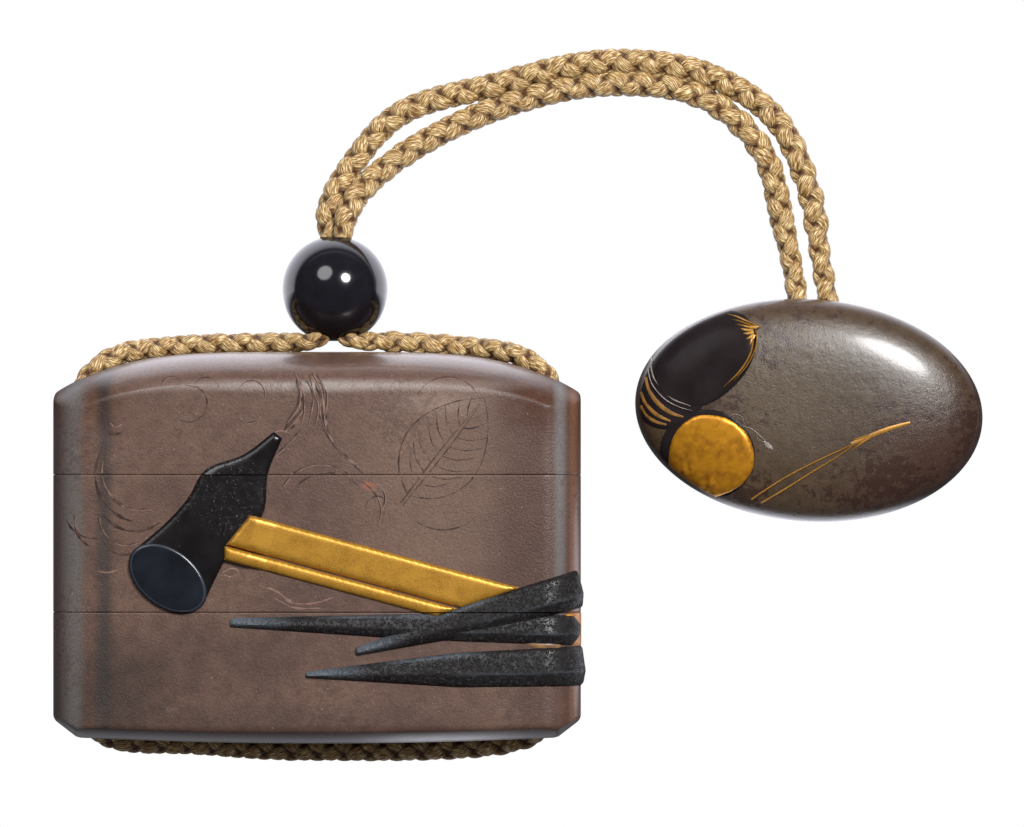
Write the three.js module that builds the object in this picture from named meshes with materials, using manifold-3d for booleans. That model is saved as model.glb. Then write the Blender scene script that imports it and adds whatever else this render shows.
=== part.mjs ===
// An inro: a small lacquered case of three stacked pieces, worn on a silk cord with a
// sliding bead and an egg-shaped toggle. It lies on its flat back. Millimetres:
// X runs across the case, Y up its height, Z out of its front; the back lies at Z = 0.
import * as THREE from 'three';
import { mergeVertices } from 'three/addons/utils/BufferGeometryUtils.js';
import Module from 'manifold-3d';

const wasm = await Module();
wasm.setup();

// ---------------------------------------------------------------- driving dimensions
const GAP = 0.3; // between two pieces that touch in the real object

const CASE_HALF_WIDTH = 37.1;
const CASE_DEPTH = 23;
const CASE_MID_Z = CASE_DEPTH / 2;
const CORNER_WIDTH = 5.6; // how far in from the side a rounded upright edge starts
const CORNER_DEPTH = 6.2; // how far back from the face it ends
const FACE_CROWN = 0.4; // the front swells this much between its sides

const TOP_Y = 27.6;
const TOP_SHOULDER_DROP = 5.85; // from the middle of the top to the top of a side
const TOP_SHOULDER_POWER = 4.1;
const TOP_ROLL = 5.6; // from the middle of the top to the top of the front face
const BOTTOM_Y = -27.6;
const BOTTOM_SAG = 1.0;
const BOTTOM_CORNER_START = 0.91; // share of the half width where the cut corner starts
const BOTTOM_CORNER_RISE = 2.4;
const BOTTOM_ROLL = 2.4;

const LID_SEAM_Y = 10.3;
const LOWER_SEAM_Y = -9.0;
const RISER_HEIGHT = 4.6;
const SOCKET = { halfWidth: 30.6, halfDepth: 9.1, corner: 4.6 };
const RISER_WALL = 1.4;
const FLOOR = 1.6;
const END_WALL = 2.3;
const BASE_WALL = 3.9; // thick enough for the cord's groove in the underside

const CORD_DIAMETER = 3.0;
const CORD_SIDES = 8;
const STEPS_PER_ROUTE_POINT = 2;
const CORD_CHANNEL_RADIUS = 1.9;
const CHANNEL_SIDES = 12;
const CHANNEL_X = 33.5;

const BEAD = {
  x: 2.4, y: 36.5, radius: 7.6, bore: 3.65, topMouth: 4.4, footMouth: 5.4, mouthDepth: 3.4,
};

const TOGGLE = { x: 69.4, y: 19.35, halfLength: 24.6, halfWidth: 15.75, halfHeight: 6.7, tilt: -4.1 };
const TOGGLE_POWER = 3.1; // an egg has 2; more makes its rim fuller and its top flatter, like a bun
const TOGGLE_FLAT = 0.1; // the egg is cut off this much at its underside, so that it lies still

const HAMMER = {
  faceX: -21.1, faceY: -4.2, angle: 52.4, length: 25.3,
  faceHalf: 6.4, faceShort: 4.2, waistHalf: 4.6, eyeHalf: 5.1, peenHalf: 0.75, rise: 0.7,
};
const HANDLE = { x: -11.6, y: 2.7, angle: -16.3, length: 43, width: 7.2, groove: 0.64, rise: 0.55 };
const TONGS_RISE = 0.5;
// Each bar of the tongs tapers from its root to a blunt tip.
const TONG_BARS = [
  { tipX: -12.0, tipY: -10.4, rootX: 34.2, rootY: -11.6, tipHalf: 0.65, rootHalf: 2.1 },
  { tipX: 5.6, tipY: -14.5, rootX: 38.2, rootY: -5.4, tipHalf: 0.55, rootHalf: 2.7 },
  { tipX: -1.4, tipY: -17.7, rootX: 38.2, rootY: -16.5, tipHalf: 0.45, rootHalf: 2.8 },
];

// Raised work on the toggle: an acorn in its cup, a round nut and a pair of pine needles.
const ACORN = { x: 54.4, y: 26.3, halfLength: 8.3, halfWidth: 5.6, angle: 38, rise: 0.55 };
const ACORN_CUP = { x: 49.6, y: 21.7, halfLength: 4.6, halfWidth: 4.4, angle: 38, rise: 0.4 };
const NUT = { x: 55.3, y: 13.0, halfLength: 6.2, halfWidth: 5.9, angle: 0, rise: 0.45 };
const NEEDLES = { x: 61.4, y: 7.2, angle: 31, length: 25.6, spread: 4.2, width: 0.55, rise: 0.22 };

// The cord's route, from one end in the toggle to the other: round over the surface, through
// the bead, along the lid, down the left channel, under the case, up the right and back.
const CORD_ROUTE = [
  [72.5, 27.9, 6.3], [72.2, 34.6, 2.8], [71.1, 41.5, 1.6], [69.7, 50.0, 1.6], [64.8, 60.7, 1.6],
  [54.5, 67.2, 1.6], [40.5, 68.8, 1.6], [25.0, 66.5, 1.6], [10.9, 61.9, 1.8], [3.1, 54.6, 3.1],
  [0.9, 47.4, 5.4], [1.3, 40.0, 6.35], [1.2, 34.8, 6.8], [0.15, 30.6, 8.7],
  [-1.6, 29.45, 8.5], [-5.3, 29.0, 7.2], [-20.0, 28.4, 5.0], [-29.0, 26.8, 9.6],
  [-32.8, 23.2, CASE_MID_Z], [-CHANNEL_X, 18.5, CASE_MID_Z], [-CHANNEL_X, -19.0, CASE_MID_Z],
  [-32.9, -23.2, CASE_MID_Z], [-29.6, -26.7, 9.9], [-17.0, -27.9, 5.6], [-1.5, -28.8, 3.0],
  [29.6, -26.8, 9.9], [32.9, -23.2, CASE_MID_Z], [CHANNEL_X, -19.0, CASE_MID_Z],
  [CHANNEL_X, 18.5, CASE_MID_Z], [32.8, 23.2, CASE_MID_Z], [29.0, 26.8, 9.6], [20.0, 28.4, 5.0],
  [9.9, 29.1, 7.3], [6.2, 29.45, 8.8], [4.6, 30.6, 9.0], [3.7, 34.8, 8.9],
  [3.5, 40.0, 8.85], [4.9, 48.0, 6.6], [10.2, 55.3, 3.4], [24.5, 62.7, 1.6],
  [40.5, 65.1, 1.6], [54.0, 63.3, 1.6], [62.2, 56.0, 1.6], [65.2, 45.5, 1.6], [67.5, 34.6, 2.8],
  [67.6, 27.9, 6.3],
];

const COLOURS = { lacquer: '#6f5b4e', black: '#14120f', gold: '#b78a3c', toggle: '#5f564b' };

// ---------------------------------------------------------------- solids
/** Makes a solid for joining and cutting from a closed three.js geometry. */
function solidOf(geometry) {
  const bare = geometry.clone();
  bare.deleteAttribute('normal');
  bare.deleteAttribute('uv');
  const merged = mergeVertices(bare, 1e-4);
  const vertProperties = new Float32Array(merged.attributes.position.array);
  const triVerts = new Uint32Array(merged.index.array);
  return new wasm.Manifold(new wasm.Mesh({ numProp: 3, vertProperties, triVerts }));
}

/** Gives a solid back as a named mesh in its own material. */
function meshOf(solid, name, color, roughness) {
  const mesh = solid.getMesh();
  const geometry = new THREE.BufferGeometry();
  geometry.setAttribute('position', new THREE.BufferAttribute(mesh.vertProperties, 3));
  geometry.setIndex(new THREE.BufferAttribute(mesh.triVerts, 1));
  geometry.computeVertexNormals();
  const material = new THREE.MeshStandardMaterial({ color, roughness, metalness: 0 });
  const part = new THREE.Mesh(geometry, material);
  part.name = name;
  return part;
}

/** Extrudes an outline in X and Z along Y, from yLow to yHigh. */
function prismAlongY(outline, yLow, yHigh) {
  const geometry = new THREE.ExtrudeGeometry(new THREE.Shape(outline), {
    depth: yHigh - yLow, bevelEnabled: false,
  });
  geometry.rotateX(Math.PI / 2);
  geometry.translate(0, yHigh, 0);
  return solidOf(geometry);
}

/** Extrudes an outline in X and Y out of the middle of the case and past its front. */
function prismOutOfFront(outline) {
  const geometry = new THREE.ExtrudeGeometry(new THREE.Shape(outline), {
    depth: CASE_DEPTH, bevelEnabled: false,
  });
  geometry.translate(0, 0, CASE_MID_Z + 1);
  return solidOf(geometry);
}

/** A smooth curve through points whose steps are shared evenly between them, closer in bends. */
class RouteCurve extends THREE.CatmullRomCurve3 {
  getUtoTmapping(u) {
    return u;
  }
}

/** A tube of the given radius along the smooth curve through the points. */
function tubeAlong(points, radius, sides) {
  const curve = new RouteCurve(points.map((p) => new THREE.Vector3(...p)), false, 'centripetal');
  const outline = new THREE.EllipseCurve(0, 0, radius, radius, 0, 2 * Math.PI).getPoints(sides).slice(0, -1);
  const steps = STEPS_PER_ROUTE_POINT * (points.length - 1);
  return new THREE.ExtrudeGeometry(new THREE.Shape(outline), { steps, extrudePath: curve, bevelEnabled: false });
}

// ---------------------------------------------------------------- the case's outer form
/** Points of a quarter ellipse round (centreX, centreZ), with its last point left out. */
function cornerPoints(centreX, centreZ, radiusX, radiusZ, startAngle, segments) {
  const points = [];
  for (let i = 0; i < segments; i += 1) {
    const angle = startAngle + (Math.PI / 2) * (i / segments);
    points.push(new THREE.Vector2(centreX + radiusX * Math.cos(angle), centreZ + radiusZ * Math.sin(angle)));
  }
  return points;
}

/** The case's section in X and Z, grown outwards by grow. */
function caseSection(grow) {
  const segments = 6;
  const flatHalf = CASE_HALF_WIDTH - CORNER_WIDTH;
  const frontZ = (x) => CASE_DEPTH + grow - FACE_CROWN * (x / CASE_HALF_WIDTH) ** 2;
  const wide = CORNER_WIDTH + grow;
  const frontZ0 = CASE_DEPTH - CORNER_DEPTH;
  const frontDeep = frontZ(flatHalf) - frontZ0;
  const backDeep = CORNER_DEPTH + grow;
  const points = cornerPoints(flatHalf, frontZ0, wide, frontDeep, 0, segments);
  for (let i = 0; i < 2 * segments; i += 1) {
    const x = flatHalf * (1 - i / segments);
    points.push(new THREE.Vector2(x, frontZ(x)));
  }
  points.push(...cornerPoints(-flatHalf, frontZ0, wide, frontDeep, Math.PI / 2, segments));
  points.push(new THREE.Vector2(-CASE_HALF_WIDTH - grow, frontZ0));
  points.push(...cornerPoints(-flatHalf, CORNER_DEPTH, wide, backDeep, Math.PI, segments));
  for (let i = 0; i < 2 * segments; i += 1) {
    points.push(new THREE.Vector2(-flatHalf * (1 - i / segments), -grow));
  }
  points.push(...cornerPoints(flatHalf, CORNER_DEPTH, wide, backDeep, 1.5 * Math.PI, segments));
  points.push(new THREE.Vector2(CASE_HALF_WIDTH + grow, CORNER_DEPTH));
  return points;
}

/** A rounded rectangle in X and Z about the middle of the case's depth. */
function roundedSection(halfWidth, halfDepth, corner) {
  const segments = 5;
  const points = [];
  const centres = [[1, 1], [-1, 1], [-1, -1], [1, -1]];
  centres.forEach(([sideX, sideZ], turn) => {
    const centreX = sideX * (halfWidth - corner);
    const centreZ = CASE_MID_Z + sideZ * (halfDepth - corner);
    points.push(...cornerPoints(centreX, centreZ, corner, corner, (turn * Math.PI) / 2, segments));
    const end = ((turn + 1) * Math.PI) / 2;
    points.push(new THREE.Vector2(centreX + corner * Math.cos(end), centreZ + corner * Math.sin(end)));
  });
  return points;
}

/** Share of a roll's full drop at a share of the way out to the edge: flat, then ever steeper. */
function roll(share) {
  return 1 - Math.sqrt(Math.max(0, 1 - share ** 2));
}

/** Height of the lid's domed top above a point of the section. */
function topHeight(x, z) {
  const across = Math.abs(x) / CASE_HALF_WIDTH;
  const deep = Math.abs(z - CASE_MID_Z) / CASE_MID_Z;
  return TOP_Y - TOP_SHOULDER_DROP * across ** TOP_SHOULDER_POWER - TOP_ROLL * roll(deep);
}

/** Height of the underside at a point of the section: a slight sag and cut corners. */
function bottomHeight(x, z) {
  const across = Math.abs(x) / CASE_HALF_WIDTH;
  const deep = Math.abs(z - CASE_MID_Z) / CASE_MID_Z;
  const cut = Math.max(0, across - BOTTOM_CORNER_START) / (1 - BOTTOM_CORNER_START);
  return BOTTOM_Y + BOTTOM_SAG * across ** 2 + BOTTOM_CORNER_RISE * cut + BOTTOM_ROLL * roll(deep ** 1.3);
}

/** A block on a section that is flat at yFlat and has a curved far end given by height(x, z). */
function cappedBlock(section, yFlat, height) {
  const rings = 7;
  const positions = [];
  const indices = [];
  const count = section.length;
  section.forEach((p) => positions.push(p.x, yFlat, p.y));
  for (let ring = rings; ring >= 1; ring -= 1) {
    const share = Math.sin((Math.PI / 2) * (ring / rings));
    section.forEach((p) => {
      const x = p.x * share;
      const z = CASE_MID_Z + (p.y - CASE_MID_Z) * share;
      positions.push(x, height(x, z), z);
    });
  }
  const capCentre = positions.length / 3;
  positions.push(0, height(0, CASE_MID_Z), CASE_MID_Z);
  const flatCentre = capCentre + 1;
  positions.push(0, yFlat, CASE_MID_Z);
  const upwards = height(0, CASE_MID_Z) > yFlat;
  const face = (a, b, c) => (upwards ? indices.push(a, b, c) : indices.push(a, c, b));
  for (let i = 0; i < count; i += 1) {
    const next = (i + 1) % count;
    for (let ring = 0; ring < rings; ring += 1) {
      const low = ring * count;
      const high = low + count;
      face(low + i, high + i, low + next);
      face(low + next, high + i, high + next);
    }
    face(rings * count + i, capCentre, rings * count + next);
    face(next, flatCentre, i);
  }
  const geometry = new THREE.BufferGeometry();
  geometry.setAttribute('position', new THREE.Float32BufferAttribute(positions, 3));
  geometry.setIndex(indices);
  return solidOf(geometry);
}

// ---------------------------------------------------------------- raised work on the front
/** Turns and moves an outline given along its own axis. */
function placed(outline, x, y, degrees) {
  const turn = THREE.MathUtils.degToRad(degrees);
  return outline.map((p) => p.clone().rotateAround(new THREE.Vector2(), turn).add(new THREE.Vector2(x, y)));
}

/** An ellipse about the origin as outline points. */
function ellipseOutline(halfLength, halfWidth, segments) {
  return new THREE.EllipseCurve(0, 0, halfLength, halfWidth, 0, 2 * Math.PI).getPoints(segments).slice(0, -1);
}

/** The hammer's head along its own axis, from the striking face to the peen. */
function hammerHeadOutline() {
  const { length, faceHalf, waistHalf, eyeHalf, peenHalf } = HAMMER;
  const side = new THREE.SplineCurve([
    new THREE.Vector2(0, faceHalf),
    new THREE.Vector2(0.25 * length, waistHalf + 0.3),
    new THREE.Vector2(0.42 * length, waistHalf),
    new THREE.Vector2(0.6 * length, eyeHalf),
    new THREE.Vector2(0.8 * length, 0.42 * eyeHalf),
    new THREE.Vector2(length, peenHalf),
  ]).getPoints(16);
  const below = side.map((p) => new THREE.Vector2(p.x, -p.y));
  return placed([...below, ...side.reverse()], HAMMER.faceX, HAMMER.faceY, HAMMER.angle);
}

/** One bar of the tongs as a tapered outline with a blunt tip. */
function tongBarOutline(bar) {
  const axis = new THREE.Vector2(bar.rootX - bar.tipX, bar.rootY - bar.tipY);
  const length = axis.length();
  const outline = [
    new THREE.Vector2(0, -bar.tipHalf),
    new THREE.Vector2(0.55 * length, -0.86 * bar.rootHalf),
    new THREE.Vector2(length, -bar.rootHalf),
    new THREE.Vector2(length, bar.rootHalf),
    new THREE.Vector2(0.55 * length, 0.86 * bar.rootHalf),
    new THREE.Vector2(0, bar.tipHalf),
  ];
  return placed(outline, bar.tipX, bar.tipY, THREE.MathUtils.radToDeg(axis.angle()));
}

/** The part of an outline's prism that stands above the case's face by rise. */
function raised(outline, rise) {
  const grown = prismAlongY(caseSection(rise), BOTTOM_Y, TOP_Y);
  const within = new THREE.BoxGeometry(2 * CASE_HALF_WIDTH, 2 * TOP_Y, 4 * CASE_DEPTH);
  return prismOutOfFront(outline).intersect(grown).intersect(solidOf(within));
}

/** Hammer and tongs as one solid, without the body that they stand on. */
function frontRelief() {
  const { width, length, groove, rise } = HANDLE;
  const strip = (low, high) => placed([
    new THREE.Vector2(0, low), new THREE.Vector2(length, low),
    new THREE.Vector2(length, high), new THREE.Vector2(0, high),
  ], HANDLE.x, HANDLE.y, HANDLE.angle);
  const grooveY = (0.5 - groove) * width;
  const face = placed(
    ellipseOutline(HAMMER.faceShort, HAMMER.faceHalf, 24), HAMMER.faceX, HAMMER.faceY, HAMMER.angle,
  );
  let relief = raised(strip(-width / 2, grooveY - 0.15), rise)
    .add(raised(strip(grooveY + 0.15, width / 2), rise))
    .add(raised(hammerHeadOutline(), HAMMER.rise))
    .add(raised(face, HAMMER.rise + 0.15));
  for (const bar of TONG_BARS) {
    relief = relief.add(raised(tongBarOutline(bar), TONGS_RISE));
  }
  return relief;
}

// ---------------------------------------------------------------- the three pieces of the case
/** The run of the cord past the case, as a clearance that cuts its channels and their mouths. */
function cordChannels() {
  const first = CORD_ROUTE.findIndex((p) => p[0] < -10);
  const last = CORD_ROUTE.findLastIndex((p) => p[0] > 10 && p[1] < 30 && p[0] < CHANNEL_X + 1);
  const run = CORD_ROUTE.slice(first, last + 1);
  return solidOf(tubeAlong(run, CORD_CHANNEL_RADIUS, CHANNEL_SIDES));
}

/** What stands between two heights, wider and deeper than the case. */
function slab(yLow, yHigh) {
  const box = new THREE.BoxGeometry(4 * CASE_HALF_WIDTH, yHigh - yLow, 4 * CASE_DEPTH);
  box.translate(0, (yLow + yHigh) / 2, 0);
  return solidOf(box);
}

/** The socket that a riser stands in, from yLow to yHigh. */
function socket(yLow, yHigh) {
  return prismAlongY(roundedSection(SOCKET.halfWidth, SOCKET.halfDepth, SOCKET.corner), yLow, yHigh);
}

/** A prism that lies inset inside the socket's outline. */
function insideSocket(inset, yLow, yHigh) {
  const { halfWidth, halfDepth, corner } = SOCKET;
  return prismAlongY(roundedSection(halfWidth - inset, halfDepth - inset, corner - inset), yLow, yHigh);
}

function lidSolid(relief, channels) {
  const yLow = LID_SEAM_Y + GAP / 2;
  const outer = cappedBlock(caseSection(0), yLow, topHeight);
  const hollow = cappedBlock(
    roundedSection(SOCKET.halfWidth, SOCKET.halfDepth, SOCKET.corner),
    yLow - 1,
    (x, z) => topHeight(x, z) - END_WALL,
  );
  return outer.add(relief.intersect(slab(yLow, TOP_Y))).subtract(hollow).subtract(channels);
}

function middleSolid(relief, channels) {
  const yLow = LOWER_SEAM_Y + GAP / 2;
  const yHigh = LID_SEAM_Y - GAP / 2;
  const floorY = yLow + RISER_HEIGHT + GAP;
  return prismAlongY(caseSection(0), yLow, yHigh)
    .add(relief.intersect(slab(yLow, yHigh)))
    .subtract(socket(yLow - 1, floorY))
    .add(insideSocket(GAP, yHigh - 1, yHigh + RISER_HEIGHT))
    .subtract(insideSocket(GAP + RISER_WALL, floorY + FLOOR, yHigh + RISER_HEIGHT + 1))
    .subtract(channels);
}

function lowerSolid(relief, channels) {
  const yHigh = LOWER_SEAM_Y - GAP / 2;
  return cappedBlock(caseSection(0), yHigh, bottomHeight)
    .add(relief.intersect(slab(BOTTOM_Y, yHigh)))
    .add(insideSocket(GAP, yHigh - 1, yHigh + RISER_HEIGHT))
    .subtract(insideSocket(GAP + RISER_WALL, BOTTOM_Y + BASE_WALL, yHigh + RISER_HEIGHT + 1))
    .subtract(channels);
}

// ---------------------------------------------------------------- bead and toggle
/** The bead: a ball with one bore along Y, whose mouths flare, the foot's wider for the cord's turns. */
function beadSolid() {
  const { radius, bore, topMouth, footMouth, mouthDepth } = BEAD;
  const segments = 14;
  const footAngle = Math.asin(footMouth / radius);
  const topAngle = Math.PI - Math.asin(topMouth / radius);
  const profile = [new THREE.Vector2(bore, mouthDepth - radius * Math.cos(footAngle))];
  for (let i = 0; i <= segments; i += 1) {
    const angle = footAngle + (topAngle - footAngle) * (i / segments);
    profile.push(new THREE.Vector2(radius * Math.sin(angle), -radius * Math.cos(angle)));
  }
  profile.push(new THREE.Vector2(bore, -radius * Math.cos(topAngle) - mouthDepth), profile[0].clone());
  const geometry = new THREE.LatheGeometry(profile, 28);
  geometry.translate(BEAD.x, BEAD.y, radius);
  return solidOf(geometry);
}

/** The toggle's flattened egg, grown outwards by grow. */
function toggleEgg(grow) {
  const egg = new THREE.SphereGeometry(1, 36, 18);
  egg.rotateX(Math.PI / 2);
  const points = egg.attributes.position;
  for (let i = 0; i < points.count; i += 1) {
    const [x, y, z] = [points.getX(i), points.getY(i), points.getZ(i)];
    const reach = Math.hypot(x, y);
    const fuller = reach > 1e-6 ? reach ** (2 / TOGGLE_POWER - 1) : 0;
    points.setXYZ(i, x * fuller, y * fuller, Math.sign(z) * Math.abs(z) ** (2 / TOGGLE_POWER));
  }
  egg.scale(TOGGLE.halfLength + grow, TOGGLE.halfWidth + grow, TOGGLE.halfHeight + grow);
  egg.rotateZ(THREE.MathUtils.degToRad(TOGGLE.tilt));
  egg.translate(TOGGLE.x, TOGGLE.y, TOGGLE.halfHeight - TOGGLE_FLAT);
  return solidOf(egg);
}

/** The upper part of an outline's prism that stands above the egg by rise. */
function raisedOnToggle(outline, rise) {
  const geometry = new THREE.ExtrudeGeometry(new THREE.Shape(outline), { depth: 20, bevelEnabled: false });
  geometry.translate(0, 0, TOGGLE.halfHeight);
  return solidOf(geometry).intersect(toggleEgg(rise));
}

/** An oval motif of the toggle, placed. */
function ovalOutline(oval) {
  return placed(ellipseOutline(oval.halfLength, oval.halfWidth, 24), oval.x, oval.y, oval.angle);
}

/** One pine needle: a thin strip that leaves its sheath at an angle. */
function needleOutline(side) {
  const { length, width, spread, angle } = NEEDLES;
  const lean = (side * spread) / 2;
  const strip = [
    new THREE.Vector2(-length * 0.62, -width / 2), new THREE.Vector2(0, -width / 2),
    new THREE.Vector2(0, width / 2), new THREE.Vector2(-length * 0.62, width / 2),
  ];
  const joint = new THREE.Vector2(length * 0.62, 0)
    .rotateAround(new THREE.Vector2(), THREE.MathUtils.degToRad(angle))
    .add(new THREE.Vector2(NEEDLES.x, NEEDLES.y));
  return placed(strip, joint.x, joint.y, angle + lean);
}

function toggleSolid() {
  let egg = toggleEgg(0);
  for (const oval of [ACORN, ACORN_CUP, NUT]) {
    egg = egg.add(raisedOnToggle(ovalOutline(oval), oval.rise));
  }
  for (const side of [-1, 1]) {
    egg = egg.add(raisedOnToggle(needleOutline(side), NEEDLES.rise));
  }
  const aboveSurface = new THREE.BoxGeometry(80, 60, 40);
  aboveSurface.translate(TOGGLE.x, TOGGLE.y, 20);
  egg = egg.intersect(solidOf(aboveSurface));
  const ends = [CORD_ROUTE.slice(0, 4), CORD_ROUTE.slice(-4)];
  for (const end of ends) {
    const blindEnd = end === ends[0] ? 0 : end.length - 1;
    const hole = end.map((p, i) => (i === blindEnd ? [p[0], p[1] - 0.6, p[2] + 0.3] : p));
    egg = egg.subtract(solidOf(tubeAlong(hole, CORD_CHANNEL_RADIUS, CHANNEL_SIDES)));
  }
  return egg;
}

// ---------------------------------------------------------------- the object
const relief = frontRelief();
const channels = cordChannels();

const cord = new THREE.Mesh(
  tubeAlong(CORD_ROUTE, CORD_DIAMETER / 2, CORD_SIDES),
  new THREE.MeshStandardMaterial({ color: COLOURS.gold, roughness: 0.8, metalness: 0 }),
);
cord.name = 'cord';

const group = new THREE.Group();
group.add(
  meshOf(lidSolid(relief, channels), 'lid', COLOURS.lacquer, 0.45),
  meshOf(middleSolid(relief, channels), 'middle_case', COLOURS.lacquer, 0.45),
  meshOf(lowerSolid(relief, channels), 'lower_case', COLOURS.lacquer, 0.45),
  meshOf(beadSolid(), 'ojime', COLOURS.black, 0.1),
  meshOf(toggleSolid(), 'netsuke', COLOURS.toggle, 0.3),
  cord,
);

export default group;
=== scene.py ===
"""Looks of an inro: a small lacquered case of three stacked pieces on a silk cord.

The case lies on its flat back. X runs across it, Y up its height and Z out of its front.
Sizes are written in millimetres and turned to metres as each mesh is made.
"""

import logging
import math
from collections.abc import Callable, Sequence
from dataclasses import dataclass
from enum import Enum

import bpy
import numpy as np
from bpy.types import Material, MeshPolygon, Node, NodeSocket, NodeTree, Object
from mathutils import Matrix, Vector, noise
from mathutils.geometry import delaunay_2d_cdt


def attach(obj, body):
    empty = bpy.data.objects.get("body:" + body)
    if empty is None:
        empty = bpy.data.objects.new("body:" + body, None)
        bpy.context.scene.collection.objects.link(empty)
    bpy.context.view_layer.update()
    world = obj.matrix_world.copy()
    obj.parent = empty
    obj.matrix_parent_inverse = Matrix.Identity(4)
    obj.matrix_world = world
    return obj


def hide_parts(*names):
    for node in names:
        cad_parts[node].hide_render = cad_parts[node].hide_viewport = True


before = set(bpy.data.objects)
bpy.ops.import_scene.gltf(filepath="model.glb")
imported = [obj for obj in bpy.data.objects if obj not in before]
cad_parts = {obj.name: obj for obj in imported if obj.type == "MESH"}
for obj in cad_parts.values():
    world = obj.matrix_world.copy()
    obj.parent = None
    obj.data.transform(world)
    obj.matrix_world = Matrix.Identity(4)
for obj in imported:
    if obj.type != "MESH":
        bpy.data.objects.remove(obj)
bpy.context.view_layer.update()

LOG = logging.getLogger("inro")
MM = 0.001
BODY = "root"
Array = np.ndarray
Surface = Callable[[Array], Array]
Height = Callable[[Array, Array], Array]


# ---- colour and nodes
def linear(hex_colour: str) -> tuple[float, float, float, float]:
    """Turns an sRGB hex colour to linear RGBA.

    Args:
        hex_colour: the colour as "#rrggbb".

    Returns:
        Linear red, green, blue and an alpha of one.
    """
    parts = [int(hex_colour[i : i + 2], 16) / 255 for i in (1, 3, 5)]
    red, green, blue = (c / 12.92 if c <= 0.04045 else ((c + 0.055) / 1.055) ** 2.4 for c in parts)
    return (red, green, blue, 1.0)


def pattern(where: NodeSocket, size_mm: float, detail: float = 0.0, roughness: float = 0.5) -> dict:
    """A texture's inputs that give features of about this size."""
    return {"Vector": where, "Scale": 1.0 / (size_mm * MM), "Detail": detail, "Roughness": roughness}


def add(tree: NodeTree, kind: str, inputs: dict | None = None, **settings: object) -> Node:
    """Adds one node with its settings, values and links.

    Args:
        tree: the node tree that gets the node.
        kind: the node's type without its "ShaderNode" in front.
        inputs: input names or numbers, each with a value, or the socket or node it is linked from; of a node,
            its first output in use is taken.
        settings: the node's own properties; "stops" gives a colour ramp's (place, hex) pairs.

    Returns:
        The new node.
    """
    node = tree.nodes.new("ShaderNode" + kind)
    stops = settings.pop("stops", None)
    for name, value in settings.items():
        setattr(node, name, value)
    if stops:
        while len(node.color_ramp.elements) < len(stops):
            node.color_ramp.elements.new(1.0)
        for element, (place, colour) in zip(node.color_ramp.elements, stops):
            element.position, element.color = place, linear(colour)
    for name, value in (inputs or {}).items():
        if isinstance(value, Node):
            value = next(output for output in value.outputs if output.enabled)
        if isinstance(value, NodeSocket):
            tree.links.new(value, node.inputs[name])
        else:
            node.inputs[name].default_value = value
    return node


def span(value: Node | NodeSocket, ends_mm: Sequence[float], start: object, end: float) -> dict:
    """A range's inputs: from start to end while value runs between the ends, in millimetres."""
    low, high = (place * MM for place in ends_mm)
    return {"Value": value, "From Min": low, "From Max": high, "To Min": start, "To Max": end}


def new_material(name: str) -> tuple[Material, NodeTree, NodeSocket]:
    """Makes an empty node material.

    Args:
        name: the finish's name.

    Returns:
        The material, its node tree and the socket with the object's own coordinates.
    """
    material = bpy.data.materials.new(name)
    material.use_nodes = True
    tree = material.node_tree
    tree.nodes.clear()
    return material, tree, add(tree, "TexCoord").outputs["Object"]


def finished(material: Material, shader: Node) -> Material:
    """Links the shader to the material's output."""
    add(material.node_tree, "OutputMaterial", {"Surface": shader})
    return material


# ---- finishes
@dataclass(frozen=True)
class Cloud:
    """A broad soft patch of another tone: its middle and reach in millimetres, colour and strength."""

    x: float
    y: float
    reach_x: float
    reach_y: float
    colour: str
    amount: float


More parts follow.
